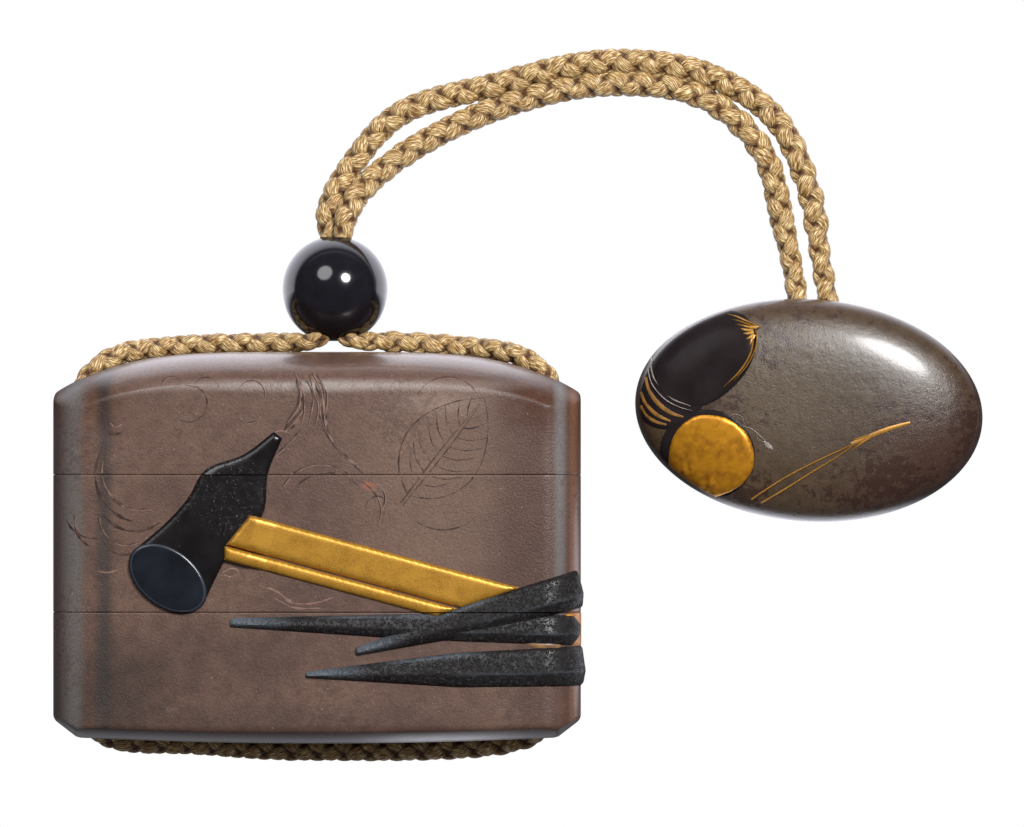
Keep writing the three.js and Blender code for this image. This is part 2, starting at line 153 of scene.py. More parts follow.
@dataclass(frozen=True)
class BurnishedUrushi:
    """Brown urushi over powdered ground, burnished to a satin: the case's and the toggle's skin.

    Broad clouds and fine mottling, a sandy grain that breaks its highlights into glitter,
    scattered dark stains, a few pale rubbed specks, and clouds, some of which are painted highlights, sheen
    and shade.
    """

    name: str
    deep: str
    middle: str
    light: str
    spot: str
    clouds: tuple[Cloud, ...] = ()
    cloud_mm: float = 16.0
    mottle_mm: float = 2.6
    grain_mm: float = 0.3
    spot_mm: float = 1.1
    spot_start: float = 0.29
    spot_edge: float = 0.05
    spot_amount: float = 0.35
    roughness: float = 0.4
    coat: float = 0.3
    grain_depth_mm: float = 0.05
    wave: float = 0.0
    speck: str = "#b9a79a"
    dulled: tuple[Cloud, ...] = ()
    stains: tuple[Cloud, ...] = ()

    def _share(self, tree: NodeTree, where: NodeSocket, broad: Node, cloud: Cloud) -> Node:
        """How much of one cloud lies at each point.

        Args:
            tree: the node tree.
            where: the object's coordinates.
            broad: the node that holds the cloudy value, which tears the cloud's edge.
            cloud: the cloud.

        Returns:
            A node whose value runs from its amount at its middle to zero.
        """
        moved = add(
            tree, "Mapping",
            {
                "Vector": where, "Location": (-cloud.x / cloud.reach_x, -cloud.y / cloud.reach_y, 0.0),
                "Scale": (1 / (cloud.reach_x * MM), 1 / (cloud.reach_y * MM), 0.0),
            },
        )
        far = add(tree, "VectorMath", {0: moved}, operation="LENGTH")
        torn = add(tree, "Math", {0: broad, 1: 1.2, 2: far}, operation="MULTIPLY_ADD")
        return add(
            tree, "MapRange",
            {"Value": torn, "From Min": 0.7, "From Max": 1.7, "To Min": cloud.amount, "To Max": 0.0},
            interpolation_type="SMOOTHSTEP",
        )

    def material(self) -> Material:
        """Builds the finish's material."""
        material, tree, where = new_material(self.name)
        cloud = add(tree, "TexNoise", pattern(where, self.cloud_mm, 4.0))
        mottle = add(tree, "TexNoise", pattern(where, self.mottle_mm, 6.0, 0.65))
        grain = add(tree, "TexNoise", pattern(where, self.grain_mm, 3.0, 0.6))
        broad = add(tree, "Mix", {"Factor": 0.4, "A": cloud, "B": mottle})
        ground = add(
            tree, "ValToRGB", {"Fac": broad},
            stops=[(0.34, self.deep), (0.5, self.middle), (0.66, self.light)],
        )
        for patch in self.clouds:
            share = self._share(tree, where, broad, patch)
            ground = add(
                tree, "Mix", {"Factor": share, "A": ground, "B": linear(patch.colour)}, data_type="RGBA",
            )
        spots = add(tree, "TexNoise", pattern(where, self.spot_mm, 5.0, 0.75))
        patches = add(tree, "Math", {0: spots, 1: cloud}, operation="MULTIPLY")
        for stain in self.stains:
            patches = add(tree, "Math", {0: patches, 1: self._share(tree, where, broad, stain)})
        spotted = add(
            tree, "MapRange",
            {
                "Value": patches, "From Min": self.spot_start, "From Max": self.spot_start + self.spot_edge,
                "To Max": self.spot_amount,
            },
        )
        stained = add(tree, "Mix", {"Factor": spotted, "A": ground, "B": linear(self.spot)}, data_type="RGBA")
        dust = add(tree, "TexVoronoi", pattern(where, 1.9))
        specks = add(
            tree, "MapRange",
            {"Value": dust, "From Min": 0.03, "From Max": 0.07, "To Min": 0.3, "To Max": 0.0},
        )
        dusted = add(tree, "Mix", {"Factor": specks, "A": stained, "B": linear(self.speck)}, data_type="RGBA")
        sand = add(
            tree, "MapRange",
            {"Value": grain, "From Min": 0.3, "From Max": 0.7, "To Min": 0.78, "To Max": 1.22},
        )
        sanded = add(tree, "VectorMath", {0: dusted, "Scale": sand}, operation="SCALE")
        satin = add(
            tree, "MapRange",
            {"Value": mottle, "To Min": self.roughness - 0.06, "To Max": self.roughness + 0.06},
        )
        waved = add(tree, "Math", {0: mottle, 1: self.wave, 2: grain}, operation="MULTIPLY_ADD")
        bump = add(tree, "Bump", {"Distance": self.grain_depth_mm * MM, "Height": waved})
        gloss = {"Coat Weight": self.coat}
        if self.dulled:
            dull = 0.0
            for patch in self.dulled:
                share = self._share(tree, where, broad, patch)
                dull = add(tree, "Math", {0: share, 1: dull}, operation="MAXIMUM")
            for name, full in (("Coat Weight", self.coat), ("Specular IOR Level", 0.5)):
                gloss[name] = add(tree, "MapRange", {"Value": dull, "To Min": full, "To Max": 0.1 * full})
        shader = add(
            tree, "BsdfPrincipled",
            {
                "Base Color": sanded, "Roughness": satin, "IOR": 1.5, "Normal": bump, "Coat Roughness": 0.14,
                **gloss,
            },
        )
        return finished(material, shader)


@dataclass(frozen=True)
class RoughBlackUrushi:
    """Black urushi dabbed over a paste ground to look like forged iron.

    Nearly black, with small scattered dabs that stand up and glitter; the dabs' paler tone is partly
    their own grey and partly painted glint.
    """

    name: str
    colour: str = "#0f0c0d"
    dab_grey_and_glint: str = "#5e5856"
    pit_mm: float = 0.5
    fine_mm: float = 0.2
    depth_mm: float = 0.16
    roughness: float = 0.24
    specular: float = 0.45
    dab_from: float = 0.545
    dab_to: float = 0.65
    tip: str = "#535960"

    def material(self) -> Material:
        """Builds the finish's material."""
        material, tree, where = new_material(self.name)
        pits = add(tree, "TexNoise", pattern(where, self.pit_mm, 4.0, 0.7))
        fine = add(tree, "TexNoise", pattern(where, self.fine_mm, 3.0))
        mixed = add(tree, "Mix", {"Factor": 0.45, "A": pits, "B": fine})
        dabs = add(tree, "MapRange", {"Value": mixed, "From Min": self.dab_from, "From Max": self.dab_to})
        # the raised dabs turn paler: partly their own grey, partly painted glints
        colour = add(tree, "ValToRGB", {"Fac": dabs}, stops=[(0.2, self.colour), (0.9, self.dab_grey_and_glint)])
        paler = add(tree, "Attribute", attribute_name="paler")
        # paler mixes in the tip's tone: the tips' own blue-grey, and on the tongs also painted shade and
        # painted highlights
        tipped = add(
            tree, "Mix", {"Factor": paler.outputs["Fac"], "A": colour, "B": linear(self.tip)},
            data_type="RGBA",
        )
        bump = add(tree, "Bump", {"Strength": 0.9, "Distance": self.depth_mm * MM, "Height": dabs})
        shader = add(
            tree, "BsdfPrincipled",
            {
                "Base Color": tipped, "Roughness": self.roughness, "IOR": 1.52,
                "Specular IOR Level": self.specular, "Normal": bump,
            },
        )
        return finished(material, shader)


@dataclass(frozen=True)
class PolishedUrushi:
    """Polished urushi: a deep, even colour under a clear gloss with faint cloud; less specular is waxier."""

    name: str
    colour: str
    tint: str
    cloud_mm: float = 4.0
    roughness: float = 0.07
    specular: float = 0.5
    wave_depth_mm: float = 0.01
    rim: str = ""

    def material(self) -> Material:
        """Builds the finish's material."""
        material, tree, where = new_material(self.name)
        cloud = add(tree, "TexNoise", pattern(where, self.cloud_mm, 3.0))
        ground = add(tree, "ValToRGB", {"Fac": cloud}, stops=[(0.35, self.colour), (0.75, self.tint)])
        if self.rim:
            paler = add(tree, "Attribute", attribute_name="paler").outputs["Fac"]
            ground = add(tree, "Mix", {"Factor": paler, "A": ground, "B": linear(self.rim)}, data_type="RGBA")
        gloss = add(
            tree, "MapRange",
            {"Value": cloud, "To Min": 0.7 * self.roughness, "To Max": 1.3 * self.roughness},
        )
        bump = add(tree, "Bump", {"Strength": 0.4, "Distance": self.wave_depth_mm * MM, "Height": cloud})
        shader = add(
            tree, "BsdfPrincipled",
            {
                "Base Color": ground, "Roughness": gloss, "IOR": 1.54, "Specular IOR Level": self.specular,
                "Normal": bump,
            },
        )
        return finished(material, shader)


@dataclass(frozen=True)
class GoldPowderUrushi:
    """Gold powder sprinkled into urushi and burnished: warm gold with grains and rubbed, browner hollows."""

    name: str
    gold: str = "#c8962c"
    rubbed: str = "#9a6a1c"
    powder_mm: float = 0.18
    cloud_mm: float = 2.6
    roughness: float = 0.36
    metallic: float = 0.55
    grain_depth_mm: float = 0.012

    def material(self) -> Material:
        """Builds the finish's material."""
        material, tree, where = new_material(self.name)
        powder = add(tree, "TexNoise", pattern(where, self.powder_mm, 2.0))
        cloud = add(tree, "TexNoise", pattern(where, self.cloud_mm, 4.0))
        mixed = add(tree, "Mix", {"Factor": 0.45, "A": powder, "B": cloud})
        colour = add(tree, "ValToRGB", {"Fac": mixed}, stops=[(0.34, self.rubbed), (0.56, self.gold)])
        bump = add(tree, "Bump", {"Strength": 0.7, "Distance": self.grain_depth_mm * MM, "Height": mixed})
        shader = add(
            tree, "BsdfPrincipled",
            {"Base Color": colour, "Roughness": self.roughness, "Metallic": self.metallic, "Normal": bump},
        )
        return finished(material, shader)


@dataclass(frozen=True)
class TwistedSilk:
    """Filament silk, plied and braided: fine bright threads along each strand, painted deep brown shade
    between them.
    """

    name: str = "gold_filament_silk"
    light: str = "#f0dcaa"
    middle: str = "#98733f"
    shade: str = "#5a3718"
    # painted shade: the deep brown where strands tuck under
    between: str = "#411f10"
    threads_around: float = 54.0
    thread_depth_mm: float = 0.07
    drift_mm: float = 1.3

    def material(self) -> Material:
        """Builds the finish's material. Strands carry a UV map: around, and along in millimetres."""
        material, tree, where = new_material(self.name)
        along = add(tree, "UVMap", uv_map="strand")
        drift = add(tree, "TexNoise", pattern(where, self.drift_mm, 2.0))
        place = add(tree, "SeparateXYZ", {0: along})
        twisted = add(tree, "Math", {0: place.outputs["Y"], 1: 1.3}, operation="MULTIPLY")
        turned = add(
            tree, "Math", {0: place.outputs["X"], 1: self.threads_around, 2: twisted},
            operation="MULTIPLY_ADD",
        )
        stretched = add(tree, "Math", {0: place.outputs["Y"], 1: 1.1}, operation="MULTIPLY")
        placed = add(tree, "CombineXYZ", {"X": turned, "Y": stretched})
        shaken = add(
            tree, "VectorMath", {0: drift.outputs["Color"], 1: (1.8, 0.9, 0.0), 2: placed},
            operation="MULTIPLY_ADD",
        )
        thread = add(tree, "TexNoise", {"Vector": shaken, "Scale": 1.0, "Detail": 3.0, "Roughness": 0.6})
        colour = add(
            tree, "ValToRGB", {"Fac": thread},
            stops=[(0.36, self.shade), (0.5, self.middle), (0.63, self.light)],
        )
        # painted shade: deep brown where strands tuck under each other and where the cord lies under the case
        tucked = add(tree, "Attribute", attribute_name="tucked")
        uneven = add(tree, "Math", {0: drift, 1: 0.16, 2: tucked.outputs["Fac"]}, operation="MULTIPLY_ADD")
        deep = add(
            tree, "MapRange", {"Value": uneven, "From Min": 0.22, "From Max": 0.46, "To Max": 0.9},
            interpolation_type="SMOOTHSTEP",
        )
        shaded = add(tree, "Mix", {"Factor": deep, "A": colour, "B": linear(self.between)}, data_type="RGBA")
        bump = add(tree, "Bump", {"Distance": self.thread_depth_mm * MM, "Height": thread})
        shader = add(
            tree, "BsdfPrincipled",
            {"Base Color": shaded, "Roughness": 0.42, "IOR": 1.54, "Specular IOR Level": 0.2, "Normal": bump},
        )
        return finished(material, shader)


@dataclass(frozen=True)
class CutLine:
    """Worn line work cut into the lacquer: a thin, slightly glossy line a shade off its ground."""

    name: str
    colour: str
    wear: str
    roughness: float = 0.35

    def material(self) -> Material:
        """Builds the finish's material."""
        material, tree, where = new_material(self.name)
        wear = add(tree, "TexNoise", pattern(where, 1.4, 4.0))
        colour = add(tree, "ValToRGB", {"Fac": wear}, stops=[(0.42, self.colour), (0.6, self.wear)])
        shader = add(tree, "BsdfPrincipled", {"Base Color": colour, "Roughness": self.roughness})
        return finished(material, shader)


# ---- mesh making
def unit(rows: Array) -> Array:
    """Rows brought to a length of one."""
    return rows / np.linalg.norm(rows, axis=1)[:, None]


def run_along(line: Array) -> Array:
    """Distance along a line from its start to each of its points."""
    return np.concatenate([[0.0], np.cumsum(np.linalg.norm(np.diff(line, axis=0), axis=1))])


def smooth_line(points: Sequence[Sequence[float]], steps_each: int) -> Array:
    """A centripetal Catmull-Rom line with its steps shared evenly between the points.

    Args:
        points: the points it passes through, in two or three dimensions.
        steps_each: how many steps lie between two neighbouring points.

    Returns:
        The line's points as rows.
    """
    given = np.asarray(points, float)
    padded = np.vstack([2 * given[0] - given[1], given, 2 * given[-1] - given[-2]])
    made = []
    for i in range(1, len(padded) - 2):
        before, start, end, after = padded[i - 1 : i + 3]
        spans = ((before, start), (start, end), (end, after))
        first, own, last = (max(1e-6, np.linalg.norm(b - a) ** 0.5) for a, b in spans)
        slope_start = (start - before) / first - (end - before) / (first + own) + (end - start) / own
        slope_end = (end - start) / own - (after - start) / (own + last) + (after - end) / last
        slope_start, slope_end = slope_start * own, slope_end * own
        for t in np.arange(steps_each) / steps_each:
            made.append(
                start + slope_start * t + (3 * (end - start) - 2 * slope_start - slope_end) * t * t
                + (2 * (start - end) + slope_start + slope_end) * t**3
            )
    made.append(given[-1])
    return np.array(made)


def even_line(points: Array, spacing: float, closed: bool = False) -> Array:
    """Shares points evenly along a line.

    Args:
        points: the line's points as rows.
        spacing: about how far apart the new points lie.
        closed: whether the line runs back to its start.

    Returns:
        The new points; a closed line's last one isn't its first again.
    """
    line = np.vstack([points, points[:1]]) if closed else points
    run = run_along(line)
    count = max(3, round(run[-1] / spacing))
    at = np.linspace(0, run[-1], count + 1)
    even = np.column_stack([np.interp(at, run, line[:, k]) for k in range(line.shape[1])])
    return even[:-1] if closed else even


def make_object(
    name: str, vertices: Array, faces: Sequence[Sequence[int]], material: Material | None = None,
    crease_degrees: float = 32.0,
) -> Object:
    """Makes a smooth-shaded mesh object from millimetre vertices.

    Args:
        name: the piece's name.
        vertices: rows of X, Y and Z in millimetres.
        faces: the faces' vertex numbers.
        material: the finish it gets, if any yet.
        crease_degrees: edges that turn more than this stay sharp.

    Returns:
        The linked object.
    """
    mesh = bpy.data.meshes.new(name)
    mesh.from_pydata((np.asarray(vertices) * MM).tolist(), [], [list(f) for f in faces])
    mesh.validate()
    obj = bpy.data.objects.new(name, mesh)
    bpy.context.scene.collection.objects.link(obj)
    if material:
        mesh.materials.append(material)
    shade(obj, crease_degrees)
    return obj


def shade(obj: Object, crease_degrees: float) -> None:
    """Shades an object smooth, with its sharper edges kept."""
    mesh = obj.data
    mesh.polygons.foreach_set("use_smooth", [True] * len(mesh.polygons))
    mesh.set_sharp_from_angle(angle=math.radians(crease_degrees))
    mesh.update()


class Join(Enum):
    """How a solid acts on another."""

    CUT = "DIFFERENCE"
    ADD = "UNION"


def combine(target: Object, tool: Object, how: Join, crease_degrees: float = 32.0) -> None:
    """Changes a solid by another one, which is used up.

    Args:
        target: the solid that is changed.
        tool: the solid that changes it.
        how: what is done.
        crease_degrees: edges that turn more than this stay sharp.
    """
    modifier = target.modifiers.new("combine", "BOOLEAN")
    modifier.operation, modifier.solver, modifier.object = how.value, "MANIFOLD", tool
    depsgraph = bpy.context.evaluated_depsgraph_get()
    depsgraph.update()
    mesh = bpy.data.meshes.new_from_object(target.evaluated_get(depsgraph))
    target.modifiers.clear()
    target.data = mesh
    bpy.data.objects.remove(tool)
    shade(target, crease_degrees)


def turning(degrees: float) -> Array:
    """The matrix that turns rows of two coordinates anticlockwise when they stand before it."""
    lean = math.radians(degrees)
    return np.array([[math.cos(lean), math.sin(lean)], [-math.sin(lean), math.cos(lean)]])


def noise_line(run: Array, size_mm: float, seed: float) -> Array:
    """Smooth chance values between about -1 and 1 along a line."""
    return np.array([2 * noise.noise(Vector((r / size_mm, seed, 0.5))) for r in run])


def loft(rings: Sequence[Array], cap_start: bool = True, cap_end: bool = True) -> tuple[Array, list]:
    """Joins rings of equal count into a closed skin.

    Args:
        rings: the rings' points, each turning the same way.
        cap_start: whether the first ring is closed by one face.
        cap_end: whether the last ring is closed by one face.

    Returns:
        Vertices and faces.
    """
    count = len(rings[0])
    faces = []
    for level in range(len(rings) - 1):
        low, high = level * count, (level + 1) * count
        faces += [(low + i, low + (i + 1) % count, high + (i + 1) % count, high + i) for i in range(count)]
    if cap_start:
        faces.append(tuple(range(count))[::-1])
    if cap_end:
        faces.append(tuple(range((len(rings) - 1) * count, len(rings) * count)))
    return np.vstack(rings), faces


def frames_along(line: Array) -> tuple[Array, Array]:
    """Two directions across a line at each point: one as far up as it can be, one level.

    Args:
        line: the line's points.

    Returns:
        The raised and the level directions, as rows.
    """
    tangent = unit(np.gradient(line, axis=0))
    up = unit(np.array([0.0, 0.0, 1.0]) - tangent * tangent[:, 2:3])
    return up, np.cross(tangent, up)


def tube(line: Array, radius: float, sides: int) -> tuple[Array, list]:
    """A closed round tube along a line, as vertices and faces."""
    up, level = frames_along(line)
    turns = 2 * math.pi * np.arange(sides) / sides
    rings = [
        p + radius * (np.cos(turns)[:, None] * level[i] + np.sin(turns)[:, None] * up[i])
        for i, p in enumerate(line)
    ]
    return loft(rings)


# ---- raised lacquer
def distance_to(points: Array, outline: Array) -> Array:
    """Distance of each point from a closed outline.

    Args:
        points: rows of two coordinates.
        outline: the outline's points.

    Returns:
        One distance for each point.
    """
    start, end = outline, np.roll(outline, -1, axis=0)
    run = end - start
    length = np.maximum(1e-12, (run**2).sum(1))
    best = np.full(len(points), 1e9)
    for a, d, n in zip(start, run, length):
        t = np.clip(((points - a) @ d) / n, 0, 1)
        best = np.minimum(best, np.linalg.norm(points - a - t[:, None] * d, axis=1))
    return best


def inside(points: Array, outline: Array) -> Array:
    """Whether each point lies inside a closed outline."""
    within = np.zeros(len(points), bool)
    x, y = points[:, 0], points[:, 1]
    for (x0, y0), (x1, y1) in zip(outline, np.roll(outline, -1, axis=0)):
        if y0 == y1:
            continue
        crossing = ((y0 > y) != (y1 > y)) & (x < (x1 - x0) * (y - y0) / (y1 - y0) + x0)
        within ^= crossing
    return within


def clip_between(outline: Array, low: float, high: float) -> Array:
    """The part of an outline between two heights.

    Args:
        outline: the outline's points.
        low: the lower height.
        high: the upper height.

    Returns:
        The clipped outline, or no points where nothing is left.
    """
    for limit, sign in ((low, 1.0), (high, -1.0)):
        kept = []
        for p, q in zip(outline, np.roll(outline, -1, axis=0)):
            p_in, q_in = sign * (p[1] - limit) >= 0, sign * (q[1] - limit) >= 0
            if p_in:
                kept.append(p)
            if p_in != q_in:
                kept.append(p + (q - p) * (limit - p[1]) / (q[1] - p[1]))
        outline = np.array(kept)
        if len(outline) < 3:
            return np.zeros((0, 2))
    return outline


@dataclass
class RaisedPatch:
    """A piece of raised lacquer that follows a curved surface.

    Attributes:
        name: the piece's name.
        outline: its outline in the surface's two coordinates, in millimetres.
        surface: gives the surface's points in space for rows of those coordinates.
        rise: how far it stands up.
        edge: how far in from its outline it has risen fully.
        height: gives an added height for rows of coordinates and their distances from the outline.
        spacing: about how far apart its points lie.
        sink: how far its hidden side lies in the surface.
        whole: the outline before it was parted, where it was; the rise is measured from that.
    """

    name: str
    outline: Array
    surface: Surface
    rise: float
    edge: float = 0.8
    height: Height | None = None
    spacing: float = 0.3
    sink: float = 0.25
    whole: Array | None = None

    def build(self, material: Material) -> Object | None:
        """Makes the closed piece.

        Args:
            material: its finish.

        Returns:
            The object, or None where the outline holds nothing.
        """
        if len(self.outline) < 3:
            return None
        rim = even_line(self.outline, self.spacing, closed=True)
        low, high = rim.min(0), rim.max(0)
        row = self.spacing * 0.87
        grid = []
        for j, y in enumerate(np.arange(low[1], high[1], row)):
            xs = np.arange(low[0] + (j % 2) * self.spacing / 2, high[0], self.spacing)
            grid.append(np.column_stack([xs, np.full(len(xs), y)]))
        grid = np.vstack(grid)
        grid = grid[inside(grid, rim)]
        grid = grid[distance_to(grid, rim) > 0.55 * self.spacing]
        points = np.vstack([rim, grid])
        count = len(rim)
        edges = [(i, (i + 1) % count) for i in range(count)]
        flat, _, faces, origins, _, _ = delaunay_2d_cdt(
            [Vector(p) for p in points], edges, [tuple(range(count))], 1, 1e-6
        )
        flat = np.array([(p[0], p[1]) for p in flat])
        rim_index = [next(k for k, o in enumerate(origins) if i in o) for i in range(count)]
        far = distance_to(flat, rim if self.whole is None else self.whole)
        share = np.clip(far / self.edge, 0, 1)
        lift = self.rise * (0.25 + 0.75 * np.sqrt(1 - (1 - share) ** 2))
        if self.height:
            lift = lift + self.height(flat, far)
        base, normal = self.surface(flat), surface_normals(self.surface, flat)
        top = base + normal * lift[:, None]
        under = base[rim_index] - normal[rim_index] * self.sink
        vertices = np.vstack([top, under])
        start = len(top)
        skin = [tuple(f) for f in faces]
        for i in range(count):
            j = (i + 1) % count
            skin.append((rim_index[j], rim_index[i], start + i, start + j))
        skin.append(tuple(start + i for i in range(count))[::-1])
        return make_object(self.name, vertices, skin, material, crease_degrees=50)


def roughened(size_mm: float, depth_mm: float, seed: float) -> Height:
    """A height that makes a dabbed, uneven skin.

    Args:
        size_mm: about how wide a dab is.
        depth_mm: how far the dabs differ.
        seed: a number that moves the pattern.

    Returns:
        The function for RaisedPatch.height.
    """

    def height(points: Array, far: Array) -> Array:
        """Height added at rows of points, less of it near the rim."""
        spots = (Vector((x / size_mm, y / size_mm, seed)) for x, y in points)
        values = np.array([noise.fractal(spot, 0.8, 2.1, 3) for spot in spots])
        return depth_mm * values * np.clip(far / 0.6, 0, 1)

    return height


@dataclass(frozen=True)
class Stroke:
    """A thin line of lacquer or of a worn cut, drawn through points in the surface's coordinates.

    Attributes:
        points: the points it passes through, in millimetres.
        width: its width in its middle.
        ends: share of that width left at its two ends.
    """

    points: tuple[tuple[float, float], ...]
    width: float = 0.2
    ends: tuple[float, float] = (0.4, 0.4)


@dataclass
class StrokeWork:
    """Many strokes of one finish as one mesh that follows a curved surface."""

    name: str
    strokes: Sequence[Stroke]
    surface: Surface
    rise: float
    sink: float = 0.08
    spacing: float = 0.3
    torn: float = 0.0

    def build(self, material: Material) -> Object:
        """Makes all strokes; torn is how much their widths wander.

        Args:
            material: their finish.

        Returns:
            The one object.
        """
        vertices, faces, count = [], [], 0
        for stroke in self.strokes:
            given = stroke.points if len(stroke.points) > 2 else even_line(np.array(stroke.points), 0.5)
            line = even_line(smooth_line(given, 8), self.spacing)
            along = np.gradient(line, axis=0)
            across = unit(np.column_stack([-along[:, 1], along[:, 0]]))
            t = np.linspace(0, 1, len(line))
            swell = np.where(
                t < 0.5, stroke.ends[0] + (1 - stroke.ends[0]) * np.sin(math.pi * t),
                stroke.ends[1] + (1 - stroke.ends[1]) * np.sin(math.pi * t),
            )
            wander = noise_line(np.arange(len(line)) * self.spacing, 0.9, float(len(vertices)))
            half = 0.5 * stroke.width * (swell * np.clip(1 + self.torn * wander, 0.25, 1.8))[:, None]
            normal = surface_normals(self.surface, line)
            middle = self.surface(line) + self.rise * normal
            sides = [self.surface(line + way * half * across) for way in (-1, 1)]
            low = [side - self.sink * normal for side in sides]
            high = [side + 0.4 * self.rise * normal for side in sides]
            rings = [np.array(ring) for ring in zip(low[0], low[1], high[1], middle, high[0])]
            skin, sheets = loft(rings)
            vertices.append(skin)
            faces += [tuple(count + i for i in sheet) for sheet in sheets]
            count += len(skin)
        return make_object(self.name, np.vstack(vertices), faces, material, crease_degrees=60)


def surface_normals(surface: Surface, points: Array) -> Array:
    """Outward directions of a surface at rows of its coordinates.

    Args:
        surface: gives points in space for rows of two coordinates.
        points: the rows.

    Returns:
        Rows of unit length.
    """
    step = 0.02
    across = surface(points + [step, 0]) - surface(points - [step, 0])
    up = surface(points + [0, step]) - surface(points - [0, step])
    return unit(np.cross(across, up))


# ---- sizes shared by the pieces
@dataclass(frozen=True)
class CaseForm:
    """The case's outer form, in millimetres."""

    half_width: float = 37.1
    depth: float = 23.0
    corner_width: float = 5.6
    corner_depth: float = 6.2
    crown: float = 0.4
    top: float = 27.6
    shoulder_drop: float = 5.85
    shoulder_power: float = 4.1
    top_roll: float = 5.6
    bottom: float = -27.6
    sag: float = 1.0
    cut_start: float = 0.91
    cut_rise: float = 2.4
    bottom_roll: float = 2.4
    lid_seam: float = 10.3
    lower_seam: float = -9.0
    seam: float = 0.03
    seam_round: float = 0.13
    face_points: int = 30
    corner_points: int = 28

    @property
    def middle(self) -> float:
        """Middle of the case's depth."""
        return self.depth / 2

    @property
    def flat_half(self) -> float:
        """Half of the face between its rounded upright edges."""
        return self.half_width - self.corner_width

    def front(self, x: Array) -> Array:
        """Height of the swelling front above the table."""
        return self.depth - self.crown * (x / self.half_width) ** 2

    def quarter(self) -> Array:
        """The section's front right quarter, from the face's middle to the side's, in X and Z."""
        x = np.linspace(0, self.flat_half, self.face_points, endpoint=False)
        turn = np.linspace(math.pi / 2, 0, self.corner_points)
        deep = self.front(np.array(self.flat_half)) - (self.depth - self.corner_depth)
        corner = np.column_stack([
                self.flat_half + self.corner_width * np.cos(turn),
                self.depth - self.corner_depth + deep * np.sin(turn),
])
        side = np.column_stack([np.full(6, self.half_width), np.linspace(corner[-1, 1], self.middle, 7)[1:]])
        return np.vstack([np.column_stack([x, self.front(x)]), corner, side])

    def section(self, inset: float = 0.0) -> Array:
        """The closed section in X and Z, drawn in by inset.

        Args:
            inset: how far it is drawn in.

        Returns:
            Points round it, anticlockwise as X runs right and Z up.
        """
        front = self.quarter()
        back = front.copy()
        turn = np.linspace(math.pi / 2, 0, self.corner_points)
        upto = self.face_points + self.corner_points
        back[self.face_points : upto, 1] = self.depth - self.corner_depth + self.corner_depth * np.sin(turn)
        back[: self.face_points, 1] = self.depth
        back[:, 1] = self.depth - back[:, 1]
        right_up = np.vstack([back, front[::-1][1:]])
        left_down = right_up[::-1][1:-1] * [-1, 1]
        ring = np.vstack([right_up, left_down])
        if inset:
            tangent = np.roll(ring, -1, axis=0) - np.roll(ring, 1, axis=0)
            inward = np.column_stack([-tangent[:, 1], tangent[:, 0]])
            ring = ring + inset * inward / np.linalg.norm(inward, axis=1)[:, None]
        return ring

    def top_height(self, x: Array, z: Array) -> Array:
        """Height of the domed top above points of the section."""
        deep = np.clip(np.abs(z - self.middle) / self.middle, 0, 1)
        return (
            self.top - self.shoulder_drop * np.abs(x / self.half_width) ** self.shoulder_power
            - self.top_roll * (1 - np.sqrt(1 - deep**2))
        )

    def bottom_height(self, x: Array, z: Array) -> Array:
        """Height of the underside at points of the section."""
        across = np.abs(x) / self.half_width
        deep = np.clip(np.abs(z - self.middle) / self.middle, 0, 1) ** 1.3
        cut = np.maximum(0, across - self.cut_start) / (1 - self.cut_start)
        rolled = self.bottom_roll * (1 - np.sqrt(1 - deep**2))
        return self.bottom + self.sag * across**2 + self.cut_rise * cut + rolled

    def run_of(self, x: Array) -> Array:
        """Distance round the front from its middle to each X."""
        quarter = self.quarter()
        run = run_along(quarter)
        upto = self.face_points + self.corner_points
        return np.sign(x) * np.interp(np.abs(x), quarter[:upto, 0], run[:upto])

    def face(self, points: Array) -> Array:
        """The front's points in space.

        Args:
            points: rows of the distance round the front from its middle, and of height.

        Returns:
            Rows of X, Y and Z.
        """
        quarter = self.quarter()
        run = run_along(quarter)
        x = np.sign(points[:, 0]) * np.interp(np.abs(points[:, 0]), run, quarter[:, 0])
        z = np.interp(np.abs(points[:, 0]), run, quarter[:, 1])
        shoulder = self.top - self.shoulder_drop * np.abs(x / self.half_width) ** self.shoulder_power
        rolled = np.clip(1 - (shoulder - points[:, 1]) / self.top_roll, 0, 1)
        dome = self.middle + self.middle * np.sqrt(1 - rolled**2)
        return np.column_stack([x, points[:, 1], np.minimum(z, dome)])


